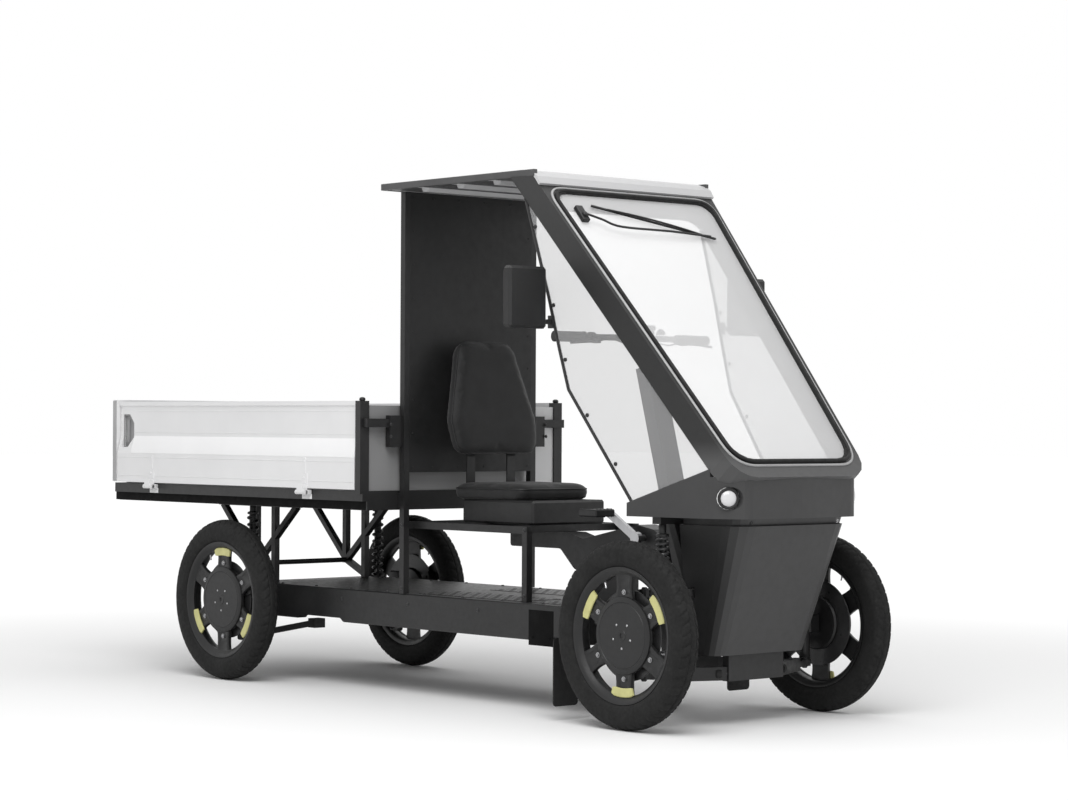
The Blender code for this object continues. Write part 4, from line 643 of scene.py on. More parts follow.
def make_shock(node, turns):
    """A damper inside an open coil spring, in the space of its node."""
    low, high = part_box(node)
    centre = (low + high) / 2
    spring = (high.y - low.y) / 2 - 0.005
    bottom, top = low.z + 0.28 * (high.z - low.z), high.z - 0.042
    count = turns * STEPS_A_TURN
    rise = top - bottom - 2 * SPRING_WIRE
    helix = []
    for index in range(count + 1):
        spot = polar(spring, 2 * pi * index / STEPS_A_TURN, bottom + SPRING_WIRE + rise * index / count)
        helix.append(spot + Vector((centre.x, centre.y, 0.0)))
    bm = bmesh.new()
    add_tube(bm, helix, SPRING_WIRE)
    coil = place(f"{node}_coil", bm, "chassis", "steel", "bolt")

    neck = (top + bottom) / 2
    profile = [
        (0.0, high.z), (0.011, high.z), (0.013, high.z - 0.004), (0.013, high.z - 0.030),
        (spring + 0.003, high.z - 0.034), (spring + 0.003, top), (0.0145, top - 0.001), (0.0145, neck),
        (0.0135, neck - 0.002), (0.0065, neck - 0.003), (0.0065, bottom), (spring + 0.003, bottom - 0.001),
        (spring + 0.003, bottom - 0.008), (0.0155, bottom - 0.010), (0.0155, low.z + 0.020),
        (0.0120, low.z + 0.012), (0.0120, low.z), (0.0, low.z),
    ]
    bm = bmesh.new()
    add_lathe(bm, profile, 24, spin_matrix((centre.x, centre.y, 0.0), (0, 0, 1)))
    place(f"{node}_damper", bm, "chassis", "steel", "black_paint")
    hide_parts(node)


# Seat

VOXEL = 0.0065
PUFF_FRAMES = 16
PUFF_LIMIT = 0.006
PAD_CROWN = 0.006
PIPING = 0.0028


def puff(obj):
    """Swell a closed mesh as stuffed cover, with a limit to how far each point may move."""
    remesh = obj.modifiers.new("remesh", "REMESH")
    remesh.mode = "VOXEL"
    remesh.voxel_size = VOXEL
    settle(obj)
    start = [vert.co.copy() for vert in obj.data.vertices]
    cloth = obj.modifiers.new("cloth", "CLOTH")
    cloth.settings.use_pressure = True
    cloth.settings.uniform_pressure_force = 4.0
    cloth.settings.effector_weights.gravity = 0.0
    cloth.settings.tension_stiffness = 12.0
    cloth.settings.bending_stiffness = 0.8
    cloth.point_cache.frame_start = 1
    cloth.point_cache.frame_end = PUFF_FRAMES
    for number in range(1, PUFF_FRAMES + 1):
        bpy.context.scene.frame_set(number)
    settle(obj)
    for vert, rest in zip(obj.data.vertices, start):
        moved = vert.co - rest
        if moved.length > PUFF_LIMIT:
            vert.co = rest + moved.normalized() * PUFF_LIMIT
    bpy.context.scene.frame_set(1)


def settle(obj):
    """Keep an object's evaluated shape as its own mesh."""
    graph = bpy.context.evaluated_depsgraph_get()
    graph.update()
    mesh = bpy.data.meshes.new_from_object(obj.evaluated_get(graph), depsgraph=graph)
    obj.modifiers.clear()
    obj.data = mesh


def pad(name, outline, origin, across, up, thickness):
    """A stuffed pad: an outline with a crowned front, a flatter back and a piped seam."""
    across, up, origin = Vector(across).normalized(), Vector(up).normalized(), Vector(origin)
    out = across.cross(up)
    outline = [Vector(point) for point in outline]
    middle = Vector([sum(row) / len(outline) for row in zip(*outline)])
    half = thickness / 2
    layers = [(-half, 0.90), (-half + 0.004, 0.975), (0.0, 1.0), (half - 0.010, 0.985), (half - 0.002, 0.93)]
    layers += [(half + PAD_CROWN * (1 - share * share), share) for share in (0.8, 0.6, 0.4, 0.2)]

    def spot(point, depth):
        """A point of the outline's plane, at a depth."""
        return origin + across * point.x + up * point.y + out * depth

    rows = [[spot(middle + (point - middle) * share, depth) for point in outline] for depth, share in layers]
    bm = bmesh.new()
    add_loft(bm, rows)
    obj = place(name, bm, "chassis", "seat", smooth=0)
    puff(obj)
    obj.data.materials.clear()
    obj.data.materials.append(FINISH["seat"])
    rounding = obj.modifiers.new("rounding", "SUBSURF")
    rounding.levels = 1
    rounding.render_levels = 1
    obj.data.shade_smooth()

    surface = BVHTree.FromObject(obj, bpy.context.evaluated_depsgraph_get())
    line = []
    for point in outline:
        near, normal = surface.find_nearest(spot(point, half - 0.008))[:2]
        line.append(near + normal * PIPING * 0.3)
    bm = bmesh.new()
    add_tube(bm, line, PIPING, closed=True)
    place(name + "_piping", bm, "chassis", "seat", "plastic")
    return obj


def rounded(corners, radii, steps=6):
    """A polygon with each corner replaced by an arc."""
    made = []
    count = len(corners)
    for index in range(count):
        here = Vector(corners[index])
        before = (Vector(corners[index - 1]) - here).normalized()
        after = (Vector(corners[(index + 1) % count]) - here).normalized()
        angle = before.angle(after) / 2
        radius = radii[index]
        reach = radius * cos(angle) / sin(angle)
        start, end = here + before * reach, here + after * reach
        for step in range(steps + 1):
            t = step / steps
            made.append(tuple(start * (1 - t) ** 2 + here * 2 * t * (1 - t) + end * t * t))
    return made


def densify(points, spacing):
    """Extra points along a closed outline."""
    made = []
    for index, point in enumerate(points):
        here, after = Vector(point), Vector(points[(index + 1) % len(points)])
        count = max(1, round((after - here).length / spacing))
        made += [tuple(here.lerp(after, step / count)) for step in range(count)]
    return made


def make_seat():
    """The cushion and the backrest as stuffed pads."""
    low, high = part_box("seat_cushion")
    middle = (low + high) / 2
    half_x, half_y = (high.x - low.x) / 2, (high.y - low.y) / 2
    corners = [(-half_x, -half_y), (half_x, -half_y + 0.02), (half_x, half_y - 0.02), (-half_x, half_y)]
    outline = densify(rounded(corners, [0.03, 0.06, 0.06, 0.03]), 0.03)
    seat = (middle.x, 0, middle.z - 0.002)
    cushion = pad("seat_pad", outline, seat, (1, 0, 0), (0, 1, 0), high.z - low.z - 0.006)
    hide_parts("seat_cushion")
    shape = [(-0.200, 0.0), (0.200, 0.0), (0.219, 0.13), (0.135, 0.44), (-0.135, 0.44), (-0.219, 0.13)]
    outline = densify(rounded(shape, [0.06, 0.06, 0.09, 0.07, 0.07, 0.09]), 0.03)
    lean = Vector((-0.08, 0, 0.43)).normalized()
    back = pad("seat_backrest", outline, (0.148, 0, 0.895), (0, 1, 0), lean, 0.050)
    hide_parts("seat_back")


# Lamps and mirrors

LAMP_TURN = 36.0
LAMP_SHIFT = 0.007
LENS_RADIUS = 0.0262
BEZEL_RADIUS = 0.0362
MIRROR_FACE_X = 0.905
MIRROR_ACROSS = (0.474, 0.620)


def make_headlamps():
    """A ribbed white lens in a dark bowl with a rounded bezel, on each side of the nose."""
    for name, side in SIDES:
        low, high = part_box(f"headlamp_{name}")
        axis = Vector((cos(radians(LAMP_TURN)), side * sin(radians(LAMP_TURN)), 0.0))
        matrix = spin_matrix((low + high) / 2 + axis * LAMP_SHIFT, axis)
        bm = bmesh.new()
        lens = [(0.0, 0.0090), (0.009, 0.0084), (0.017, 0.0064), (0.0235, 0.0030), (LENS_RADIUS, 0.0)]
        lens += [(LENS_RADIUS, -0.004), (0.0, -0.004)]
        add_lathe(bm, lens, 48, matrix)
        glass = place(f"lamp_lens_{name}", bm, "chassis", "lamp")
        bm = bmesh.new()
        seat = LENS_RADIUS + 0.0003
        bowl = [(0.0, -0.0045), (seat, -0.0045), (seat, 0.0010), (0.0290, 0.0030), (0.0335, 0.0030)]
        bowl += [(BEZEL_RADIUS, 0.0), (BEZEL_RADIUS, -0.006), (0.027, -0.020), (0.0, -0.024)]
        add_lathe(bm, bowl, 48, matrix)
        place(f"lamp_bezel_{name}", bm, "chassis", "plastic")
        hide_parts(f"headlamp_{name}")


def make_mirrors():
    """The glass and its rim on the rear face of each mirror."""
    for name, side in SIDES:
        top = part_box(f"mirror_{name}")[1].z
        near, far = sorted(side * across for across in MIRROR_ACROSS)
        foot, head = top - 0.199, top - 0.014
        bm = bmesh.new()
        add_box(bm, (MIRROR_FACE_X - 0.0012, near, foot), (MIRROR_FACE_X + 0.001, far, head), 0.001, 1)
        place(f"mirror_glass_{name}", bm, "chassis", "plastic", "mirror")
        bm = bmesh.new()
        left, right, below, above = near - 0.004, far + 0.004, foot - 0.004, head + 0.004
        rim = rounded([(left, below), (right, below), (right, above), (left, above)], [0.012] * 4, 5)
        add_tube(bm, [(MIRROR_FACE_X - 0.0008, y, z) for y, z in rim], 0.0022, closed=True)
        place(f"mirror_rim_{name}", bm, "chassis", "plastic")


# Windscreen fittings

SCREEN_TOP = Vector((0.8646, 0.0, 1.8413))
SCREEN_FOOT = Vector((1.7033, 0.0, 0.8688))
SCREEN_DOWN = (SCREEN_FOOT - SCREEN_TOP).normalized()
SCREEN_OUT = Vector((-SCREEN_DOWN.z, 0.0, SCREEN_DOWN.x))
WIPER_PIVOT = (-0.314, 0.146)
WIPER_ELBOW = (-0.171, 0.199)
BLADE_START = (-0.240, 0.088)
BLADE_END = (0.301, 0.211)


def on_screen(across, down, out):
    """A point over the windscreen: across, down the slope, and out from its plane."""
    return SCREEN_TOP + Vector((0.0, across, 0.0)) + SCREEN_DOWN * down + SCREEN_OUT * out


def make_wiper():
    """A wiper parked along the screen's upper edge: pivot cover, arm, bridge and rubber blade."""
    bm = bmesh.new()
    frame_matrix = Matrix((Vector((0, 1, 0)), SCREEN_DOWN, SCREEN_OUT)).transposed().to_4x4()
    at_pivot = Matrix.Translation(on_screen(*WIPER_PIVOT, 0.0)) @ frame_matrix
    add_box(bm, (-0.016, -0.046, -0.001), (0.016, 0.024, 0.017), 0.006, 3, at_pivot)
    dome = [(0.0, 0.026), (0.007, 0.0255), (0.010, 0.023), (0.011, 0.016), (0.0, 0.016)]
    add_lathe(bm, dome, 20, at_pivot)
    start, end = Vector(BLADE_START), Vector(BLADE_END)
    pivot, elbow = Vector(WIPER_PIVOT), Vector(WIPER_ELBOW)
    tail = end.lerp(start, 0.05)
    arm = [on_screen(*pivot, 0.022), on_screen(*pivot.lerp(elbow, 0.45), 0.022), on_screen(*elbow, 0.021),
           on_screen(*elbow.lerp(tail, 0.55), 0.019), on_screen(*tail, 0.010)]
    add_tube(bm, smooth_through(arm, 6), 0.0042)
    bridge = [on_screen(*start.lerp(end, share), rise)
              for share, rise in ((0.12, 0.008), (0.3, 0.013), (0.5, 0.015), (0.7, 0.013), (0.88, 0.008))]
    add_tube(bm, smooth_through(bridge, 5), 0.0032)
    place("wiper_arm", bm, "chassis", "plastic")
    bm = bmesh.new()
    ends = [on_screen(*start, 0.0), on_screen(*end, 0.0)]
    side = (ends[1] - ends[0]).normalized().cross(SCREEN_OUT)
    section = [(-0.0008, 0.0002), (0.0008, 0.0002), (0.0012, 0.0045), (0.0040, 0.0052), (0.0040, 0.0078),
               (-0.0040, 0.0078), (-0.0040, 0.0052), (-0.0012, 0.0045)]
    add_loft(bm, [[point + side * u + SCREEN_OUT * v for u, v in section] for point in ends])
    place("wiper_blade", bm, "chassis", "rubber")


def make_seal_lip():
    """The rounded rubber lip along the edge of the screen's opening, and a pale bead around it that paints
    the highlight on the frame's inner edge.
    """
    lip = [(-0.392, 0.022), (0.392, 0.022), (0.288, 1.253), (-0.288, 1.253)]
    bead = [(-0.407, 0.006), (0.407, 0.006), (0.303, 1.269), (-0.303, 1.269)]
    for name, corners, radii, out, radius, slot, finish in (
            ("seal_lip", lip, [0.062, 0.062, 0.090, 0.090], 0.0065, 0.0062, "rubber", "rubber"),
            ("opening_highlight_bead", bead, [0.077, 0.077, 0.105, 0.105], 0.0008, 0.0048, "plastic", "bead")):
        bm = bmesh.new()
        add_tube(bm, [on_screen(u, v, out) for u, v in rounded(corners, radii, 10)], radius, 10, closed=True)
        place(name, bm, "chassis", slot, finish)


ROOF_HALF = 0.430
ROOF_REAR_X = -0.010
ROOF_UNDERSIDE = 1.880


def make_roof_trim():
    """A dark edge profile along the roof's sides and rear, and thin dark panels under it."""
    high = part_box("roof_panel")[1]
    foot, head = high.z - 0.0245, high.z - 0.0008
    bm = bmesh.new()
    for side in (-1, 1):
        inner, outer = side * (ROOF_HALF - 0.014), side * (ROOF_HALF + 0.0025)
        add_box(bm, (ROOF_REAR_X - 0.002, inner, foot), (high.x - 0.030, outer, head), 0.002, 2)
    add_box(bm, (ROOF_REAR_X - 0.0025, -ROOF_HALF, foot), (ROOF_REAR_X + 0.014, ROOF_HALF, head), 0.002, 2)
    place("roof_trim", bm, "chassis", "plastic", "edge_trim")
    bm = bmesh.new()
    for start, end in ((0.030, 0.155), (0.205, 0.355), (0.405, 0.555), (0.605, 0.780)):
        low, high = (start, -0.405, ROOF_UNDERSIDE - 0.0016), (end, 0.405, ROOF_UNDERSIDE + 0.0004)
        add_box(bm, low, high, 0.0006, 1)
    place("roof_dark_panels", bm, "chassis", "plastic", "edge_trim")


def make_side_fasteners():
    """Round knobs that hold each clear side pane to its edge tube."""
    lean = atan2(0.1124, 0.8983)
    knob = [(0.0, 0.0050), (0.0050, 0.0048), (0.0068, 0.0035), (0.0072, 0.0), (0.0, 0.0)]
    for name, side in SIDES:
        bm = bmesh.new()
        normal = Vector((sin(lean), side * cos(lean), 0.0))
        for x, z in ((0.838, 1.700), (0.922, 1.425), (0.976, 1.236), (1.075, 1.045), (1.200, 0.880)):
            y = 0.424 - (x - 0.805) * sin(lean) / cos(lean)
            add_lathe(bm, knob, 16, spin_matrix(Vector((x, side * y, z)) + normal * 0.002, normal))
        place(f"side_fasteners_{name}", bm, "chassis", "plastic")


# Bolts and rivets

def add_row(bm, start, end, count, axis, radius=0.006, height=0.005):
    """Bolt heads at equal steps between two points."""
    start, end = Vector(start), Vector(end)
    for index in range(count):
        add_bolt(bm, start.lerp(end, index / max(1, count - 1)), axis, radius, height)


def make_bolts():
    """Bolts of the frame, the bed, the nose and the suspension, and the wall's rivets."""
    up, ahead = (0, 0, 1), (1, 0, 0)
    bm = bmesh.new()
    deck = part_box("floor_platform")[1].z
    for y in (-0.290, 0.290):
        add_row(bm, (-0.800, y, deck), (0.960, y, deck), 9, up, 0.006, 0.004)
    for side in (-1, 1):
        out = (0, side, 0)
        for x in (-0.380, 0.020, 0.420, 0.980):
            add_bolt(bm, (x, side * 0.320, 0.340), out, 0.006, 0.004)
        for x, y in ((-0.008, 0.329), (0.625, 0.278)):
            add_bolt(bm, (x, side * y, 0.634), out, 0.007, 0.005)
            add_bolt(bm, (x, side * y, 0.400), out, 0.006, 0.004)
        for z in (0.965, 1.010):
            add_bolt(bm, (0.000, side * 0.388, z), ahead, 0.005, 0.004)
        for x, z in ((-1.061, 0.448), (-0.935, 0.400), (-1.270, 0.680), (-0.800, 0.680)):
            add_bolt(bm, (x, side * 0.241, z), out, 0.006, 0.005)
        for foot in ARM_FEET:
            for z in ARM_LEVELS:
                add_bolt(bm, (FRONT_AXLE_X + foot, side * 0.134, z), out, 0.008, 0.006)
        for z, turn in ((0.1657, -1), (0.4643, 1)):
            add_bolt(bm, (FRONT_AXLE_X, side * KINGPIN_Y, z), (0, 0, turn), 0.010, 0.008)
        add_bolt(bm, (REAR_AXLE_X, side * 0.403, 0.200), out, 0.007, 0.005)
    add_row(bm, (1.235, -0.105, 0.398), (1.235, 0.105, 0.398), 4, up, 0.006, 0.004)
    place("frame_bolts", bm, "chassis", "steel", "bolt")

    bm = bmesh.new()
    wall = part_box("rear_wall")[1]
    head = wall.z - 0.020
    for y in (-0.288, 0.288):
        add_row(bm, (wall.x, y, 0.850), (wall.x, y, head), 9, ahead, 0.0038, 0.0018)
    for z in (head, 0.850):
        add_row(bm, (wall.x, -0.192, z), (wall.x, 0.192, z), 4, ahead, 0.0038, 0.0018)
    place("wall_rivets", bm, "chassis", "plastic")

    for name, y, finish in (("right", -0.210, "bolt"), ("left", 0.210, "steel")):
        bm = bmesh.new()
        add_bolt(bm, (1.6745, y, 0.692), ahead, 0.0060, 0.004)
        place(f"groove_bolt_{name}", bm, "chassis", "steel", finish)


def make_post_caps():
    """Domed caps on the bed's front posts and plugs in the open tube ends."""
    bm = bmesh.new()
    cap = [(0.0, 0.014), (0.006, 0.0135), (0.011, 0.010), (0.012, 0.004), (0.010, 0.0), (0.0, 0.0)]
    for side in (-1, 1):
        add_lathe(bm, cap, 24, spin_matrix((-0.051, side * POST_Y, BOARD_TOP), (0, 0, 1)))
        add_box(bm, (0.638, side * 0.2535, 0.6225), (0.6405, side * 0.2765, 0.6455), 0.002, 2)
    place("post_caps", bm, "chassis", "plastic")


# Load bed

BOARD_SHOULDER = (0.885, 0.955)
BOARD_TOP = 1.097
BOARD_OUTER = 0.505
BOARD_UPPER = 0.487
BOARD_RIBS = ((0.795, BOARD_OUTER), (0.870, BOARD_OUTER), (0.972, BOARD_UPPER), (1.058, BOARD_UPPER))
HINGE_PLACES = (-1.410, -0.375)
HINGE_EAR = 0.0238
HINGE_HALF = 0.0053
HINGE_LINE_Y = 0.522
HINGE_LINE_Z = 0.752
RAIL_FACE_Y = 0.493
BEAM_FACE_Y = 0.471
BEAM_LOW = 0.690
BEAM_TOP = 0.724
SILL_END_X = 0.878
SHEET_LEVEL = 0.7645
STUD_HEIGHT = 0.0012


def make_board_trim():
    """Drawn ribs, hinge straps, pale strips of painted highlight along the shoulders, and latches on the two
    side boards.
    """
    for name, side in SIDES:
        body = f"side_board_{name}"
        low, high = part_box(body)
        out = (0, side, 0)
        bm = bmesh.new()
        rear, front = low.x + 0.002, high.x - 0.002
        for z, y in BOARD_RIBS:
            start = rear + 0.105 if y == BOARD_UPPER else rear
            inner, outer = side * (y - 0.001), side * (y + 0.0012)
            add_box(bm, (start, inner, z - 0.0016), (front, outer, z + 0.0016), 0.0006, 1)
        root, strap = side * (BOARD_OUTER - 0.001), side * (BOARD_OUTER + 0.0022)
        for x in HINGE_PLACES:
            add_box(bm, (x - 0.007, root, 0.822), (x + 0.007, strap, 0.884), 0.001, 1)
            add_bolt(bm, (x, side * (BOARD_OUTER + 0.005), 0.806), out, 0.0045, 0.003)
            add_bolt(bm, (x, strap, 0.868), out, 0.0035, 0.002)
        place(f"board_trim_{name}", bm, body, "board")
        # Painted highlight: a pale strip over each board's sloped shoulder, where it faces the light.
        bm = bmesh.new()
        low_edge, high_edge = BOARD_SHOULDER
        skin = [(BOARD_OUTER - 0.001, low_edge + 0.002), (BOARD_OUTER + 0.0006, low_edge + 0.001),
                (BOARD_OUTER + 0.0016, low_edge + 0.006), (BOARD_UPPER + 0.0030, high_edge - 0.006),
                (BOARD_UPPER + 0.0012, high_edge + 0.002), (BOARD_UPPER - 0.001, high_edge + 0.001)]
        add_loft(bm, [[Vector((x, side * y, z)) for y, z in skin] for x in (rear + 0.100, front)])
        place(f"board_shoulder_highlight_{name}", bm, body, "board", "shoulder_highlight")
        make_latch(name, side, low.x, body)


def make_latch(name, side, rear, body):
    """A recessed latch: dished plate, pivot and lever in the board's pocket."""
    floor = side * (BOARD_UPPER - 0.010)
    raised = floor + side * 0.0075
    shape = [(0.024, 0.913), (0.065, 0.913), (0.096, 0.952), (0.096, 1.008), (0.065, 1.043), (0.024, 1.043)]
    outline = [(rear + u, v) for u, v in rounded(shape, [0.004] * 6, 3)]
    bm = bmesh.new()
    add_tube(bm, [(x, floor + side * 0.0085, z) for x, z in outline], 0.0024, closed=True)
    add_loft(bm, [[Vector((x, floor + side * out, z)) for x, z in outline] for out in (-0.0005, 0.0012)])
    place(f"latch_rim_{name}", bm, body, "plastic", "latch")
    bm = bmesh.new()
    for x, half, foot, head in ((0.047, 0.011, 0.930, 0.977), (0.050, 0.009, 0.975, 1.024)):
        add_box(bm, (rear + x - half, floor, foot), (rear + x + half, raised, head), 0.003, 2)
    add_bolt(bm, (rear + 0.046, raised, 0.944), (0, side, 0), 0.006, 0.003)
    add_bolt(bm, (rear + 0.080, floor, 0.980), (0, side, 0), 0.004, 0.002)
    place(f"latch_lever_{name}", bm, body, "steel", "latch")


def make_hinge_covers():
    """Bright sleeves over each side hinge's two ears, with a foot plate on the rail."""
    sleeve = [(0.0, -HINGE_HALF), (0.0092, -HINGE_HALF), (0.0092, HINGE_HALF), (0.0, HINGE_HALF)]
    for name, side in SIDES:
        line, root, face = side * HINGE_LINE_Y, side * (RAIL_FACE_Y - 0.001), side * (RAIL_FACE_Y + 0.0022)
        bm = bmesh.new()
        for x in HINGE_PLACES:
            for ear in (x - HINGE_EAR, x + HINGE_EAR):
                add_lathe(bm, sleeve, 20, spin_matrix((ear, line, HINGE_LINE_Z), (1, 0, 0)))
                add_box(bm, (ear - HINGE_HALF, side * (RAIL_FACE_Y + 0.0005), HINGE_LINE_Z - 0.0090),
                        (ear + HINGE_HALF, line, HINGE_LINE_Z + 0.0090), 0.001, 1)
            add_box(bm, (x - 0.030, root, 0.7255), (x + 0.030, face, 0.7445), 0.001, 1)
            for spot in (x - 0.018, x + 0.018):
                add_bolt(bm, (spot, face, 0.735), (0, side, 0), 0.0035, 0.002)
        place(f"hinge_covers_{name}", bm, "chassis", "steel", "hinge")


def make_painted_beam_shade():
    """Painted shade: matt black skins on the outer sides of the bed's two lower beams, which sit in shade
    under the rails.
    """
    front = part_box("headboard")[1].x
    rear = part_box("tailgate")[0].x
    for name, side in SIDES:
        # Painted shade: a near-black skin laid over each lower beam's outer face.
        bm = bmesh.new()
        add_box(bm, (rear + 0.001, side * (BEAM_FACE_Y - 0.001), BEAM_LOW + 0.001),
                (front - 0.001, side * (BEAM_FACE_Y + 0.0012), BEAM_TOP - 0.0005), 0.0006, 1)
        place(f"painted_beam_shade_{name}", bm, "chassis", "black_paint", "shade_black")


def make_sill_ends():
    """Thin black covers, each with two bolts, over the front ends of the platform's two sills."""
    low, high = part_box("floor_platform")
    for name, side in SIDES:
        root, face = side * (high.y - 0.001), side * (high.y + 0.0015)
        bm = bmesh.new()
        add_box(bm, (SILL_END_X, root, low.z + 0.003), (high.x - 0.001, face, high.z - 0.003), 0.001)
        for x in (SILL_END_X + 0.02, high.x - 0.02):
            add_bolt(bm, (x, face, low.z + 0.030), (0, side, 0), 0.005, 0.002)
        place(f"sill_end_{name}", bm, "chassis", "plastic", "shade_black")


def make_tailgate_trim():
    """Ribs across the tailgate, its end caps and hinge screws."""
    bm = bmesh.new()
    for z, y in BOARD_RIBS:
        x = -1.700 if y == BOARD_OUTER else -1.690
        add_box(bm, (x - 0.0012, -0.500, z - 0.0016), (x + 0.001, 0.500, z + 0.0016), 0.0006, 1)
    for y in (-0.330, 0.330):
        add_bolt(bm, (-1.705, y, 0.806), (-1, 0, 0), 0.0045, 0.003)
    place("tailgate_trim", bm, "tailgate", "board")
    bm = bmesh.new()
    for side in (-1, 1):
        add_box(bm, (-1.6985, side * 0.5045, 0.770), (-1.6735, side * 0.5070, 1.102), 0.0012, 2)
    place("tailgate_caps", bm, "tailgate", "plastic", "cap")


def add_studs(bm, low, high, level, pitch):
    """Rows of raised lozenges that turn a quarter from one to the next, on a flat deck."""
    columns = int((high[0] - low[0]) / pitch)
    rows = int((high[1] - low[1]) / pitch)
    for column in range(columns):
        for row in range(rows):
            centre = Vector((low[0] + (column + 0.5) * (high[0] - low[0]) / columns,
                             low[1] + (row + 0.5) * (high[1] - low[1]) / rows, level))
            turn = radians(45.0 if (column + row) % 2 else -45.0)
            along, wide = polar(pitch * 0.36, turn, 0.0), polar(pitch * 0.11, turn + pi / 2, 0.0)
            lozenge = (along, wide, -along, -wide)
            peak = centre + Vector((0.0, 0.0, STUD_HEIGHT))
            add_loft(bm, [[centre + spot for spot in lozenge], [peak + spot * 0.6 for spot in lozenge]])


def make_deck_tread():
    """Studded plates on the platform in front of the wall, on both sides of the boom."""
    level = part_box("floor_platform")[1].z
    bm = bmesh.new()
    for near, far in ((-0.275, -0.075), (0.075, 0.275)):
        for start, end in ((0.030, 0.600), (0.655, 0.960)):
            add_box(bm, (start, near, level - 0.0005), (end, far, level + 0.0016), 0.0006, 1)
            add_studs(bm, (start, near), (end, far), level + 0.0014, 0.030)
    place("deck_tread", bm, "chassis", "black_paint", smooth=0)


def make_bed_floor():
    """A tread sheet on the bed with its screws."""
    bm = bmesh.new()
    rear, front = -1.664, -0.068
    add_box(bm, (rear, -0.462, 0.7622), (front, 0.462, SHEET_LEVEL), 0.0008, 1)
    add_studs(bm, (rear + 0.03, -0.415), (front - 0.03, 0.415), 0.7643, 0.040)
    for y in (-0.430, 0.430):
        start, end = (rear + 0.05, y, SHEET_LEVEL), (front - 0.05, y, SHEET_LEVEL)
        add_row(bm, start, end, 6, (0, 0, 1), 0.005, 0.002)
    place("bed_sheet", bm, "chassis", "board", "floor_sheet")


# Handlebar and pedals

BAR_CENTRE = Vector((0.945, 0.0, 1.320))
BAR_SWEEP = Vector((-0.060, 0.0, 0.0))
GRIP_RIBS = 12


def make_bar_fittings():
    """Ribbed grips, clamps, brake levers, a bell and a small display on the handlebar."""
    bm = bmesh.new()
    metal = bmesh.new()
    for side in (-1, 1):
        inner = BAR_CENTRE + BAR_SWEEP * 0.75 + Vector((0, side * 0.245, 0))
        outer = BAR_CENTRE + BAR_SWEEP + Vector((0, side * 0.374, 0))
        axis = (outer - inner).normalized()
        length = (outer - inner).length
        step = (length - 0.022) / GRIP_RIBS
        grip = [(0.0, 0.0), (0.0195, 0.0), (0.0195, 0.006), (0.0174, 0.008)]
        for index in range(GRIP_RIBS):
            grip += [(radius, 0.010 + step * (index + share))
                     for radius, share in ((0.0174, 0.0), (0.0186, 0.25), (0.0186, 0.6), (0.0174, 0.85))]
        grip += [(0.0192, length - 0.010), (0.0192, length + 0.001)]
        grip += [(0.015, length + 0.004), (0.0, length + 0.004)]
        add_lathe(bm, grip, 24, spin_matrix(inner, axis))
        clamp = inner - axis * 0.030
        collar = [(0.0115, -0.010), (0.0180, -0.010), (0.0185, 0.010), (0.0115, 0.010)]
        add_lathe(bm, collar, 24, spin_matrix(clamp, axis), closed=True)
        add_box(bm, (0.012, -0.010, -0.022), (0.040, 0.010, -0.004), 0.004, 2, Matrix.Translation(clamp))
        root = clamp + Vector((0.034, 0, -0.013))
        lever = [root + Vector((x, side * y, z)) for x, y, z in (
            (0.0, 0.0, 0.0), (0.012, 0.030, -0.003), (0.008, 0.080, -0.006), (0.002, 0.118, -0.009),
            (0.004, 0.132, -0.010))]
        add_tube(metal, smooth_through(lever, 5), 0.0046)
        hose = [root + Vector((x, -side * y, z)) for x, y, z in (
            (0.002, 0.006, 0.0), (0.030, 0.040, 0.006), (0.034, 0.110, -0.010))]
        hose += [BAR_CENTRE + Vector((x, side * y, z)) for x, y, z in (
            (0.030, 0.050, -0.020), (0.012, 0.022, -0.034))]
        add_tube(bm, smooth_through(hose, 8), 0.0026)
    add_box(bm, (-0.034, -0.036, 0.028), (0.026, 0.036, 0.046), 0.006, 3, Matrix.Translation(BAR_CENTRE))
    place("bar_fittings", bm, "handlebar", "plastic")
    for across in (-0.022, 0.022):
        add_bolt(metal, BAR_CENTRE + Vector((0.025, across, 0.004)), (1, 0, 0), 0.004, 0.003)
    bell = [(0.0, 0.024), (0.008, 0.022), (0.015, 0.014), (0.017, 0.004), (0.0165, 0.003), (0.0, 0.003)]
    add_lathe(metal, bell, 28, spin_matrix(BAR_CENTRE + Vector((0.0, 0.085, 0.011)), (0, 0, 1)))
    place("bar_levers", metal, "handlebar", "plastic", "bolt")


def make_pedal_treads():
    """Grip studs on both faces of the pedals."""
    stud = [(0.0, 0.0026), (0.0022, 0.0024), (0.0026, 0.0), (0.0, 0.0)]
    for name, _ in SIDES:
        low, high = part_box(f"pedal_{name}")
        bm = bmesh.new()
        for x in (low.x + 0.007, high.x - 0.007):
            for index in range(5):
                y = low.y + 0.012 + (high.y - low.y - 0.024) * index / 4
                for z, up in ((high.z, 1), (low.z, -1)):
                    add_lathe(bm, stud, 10, spin_matrix((x, y, z), (0, 0, up)))
        place(f"pedal_studs_{name}", bm, f"pedal_{name}", "plastic")


# Running gear

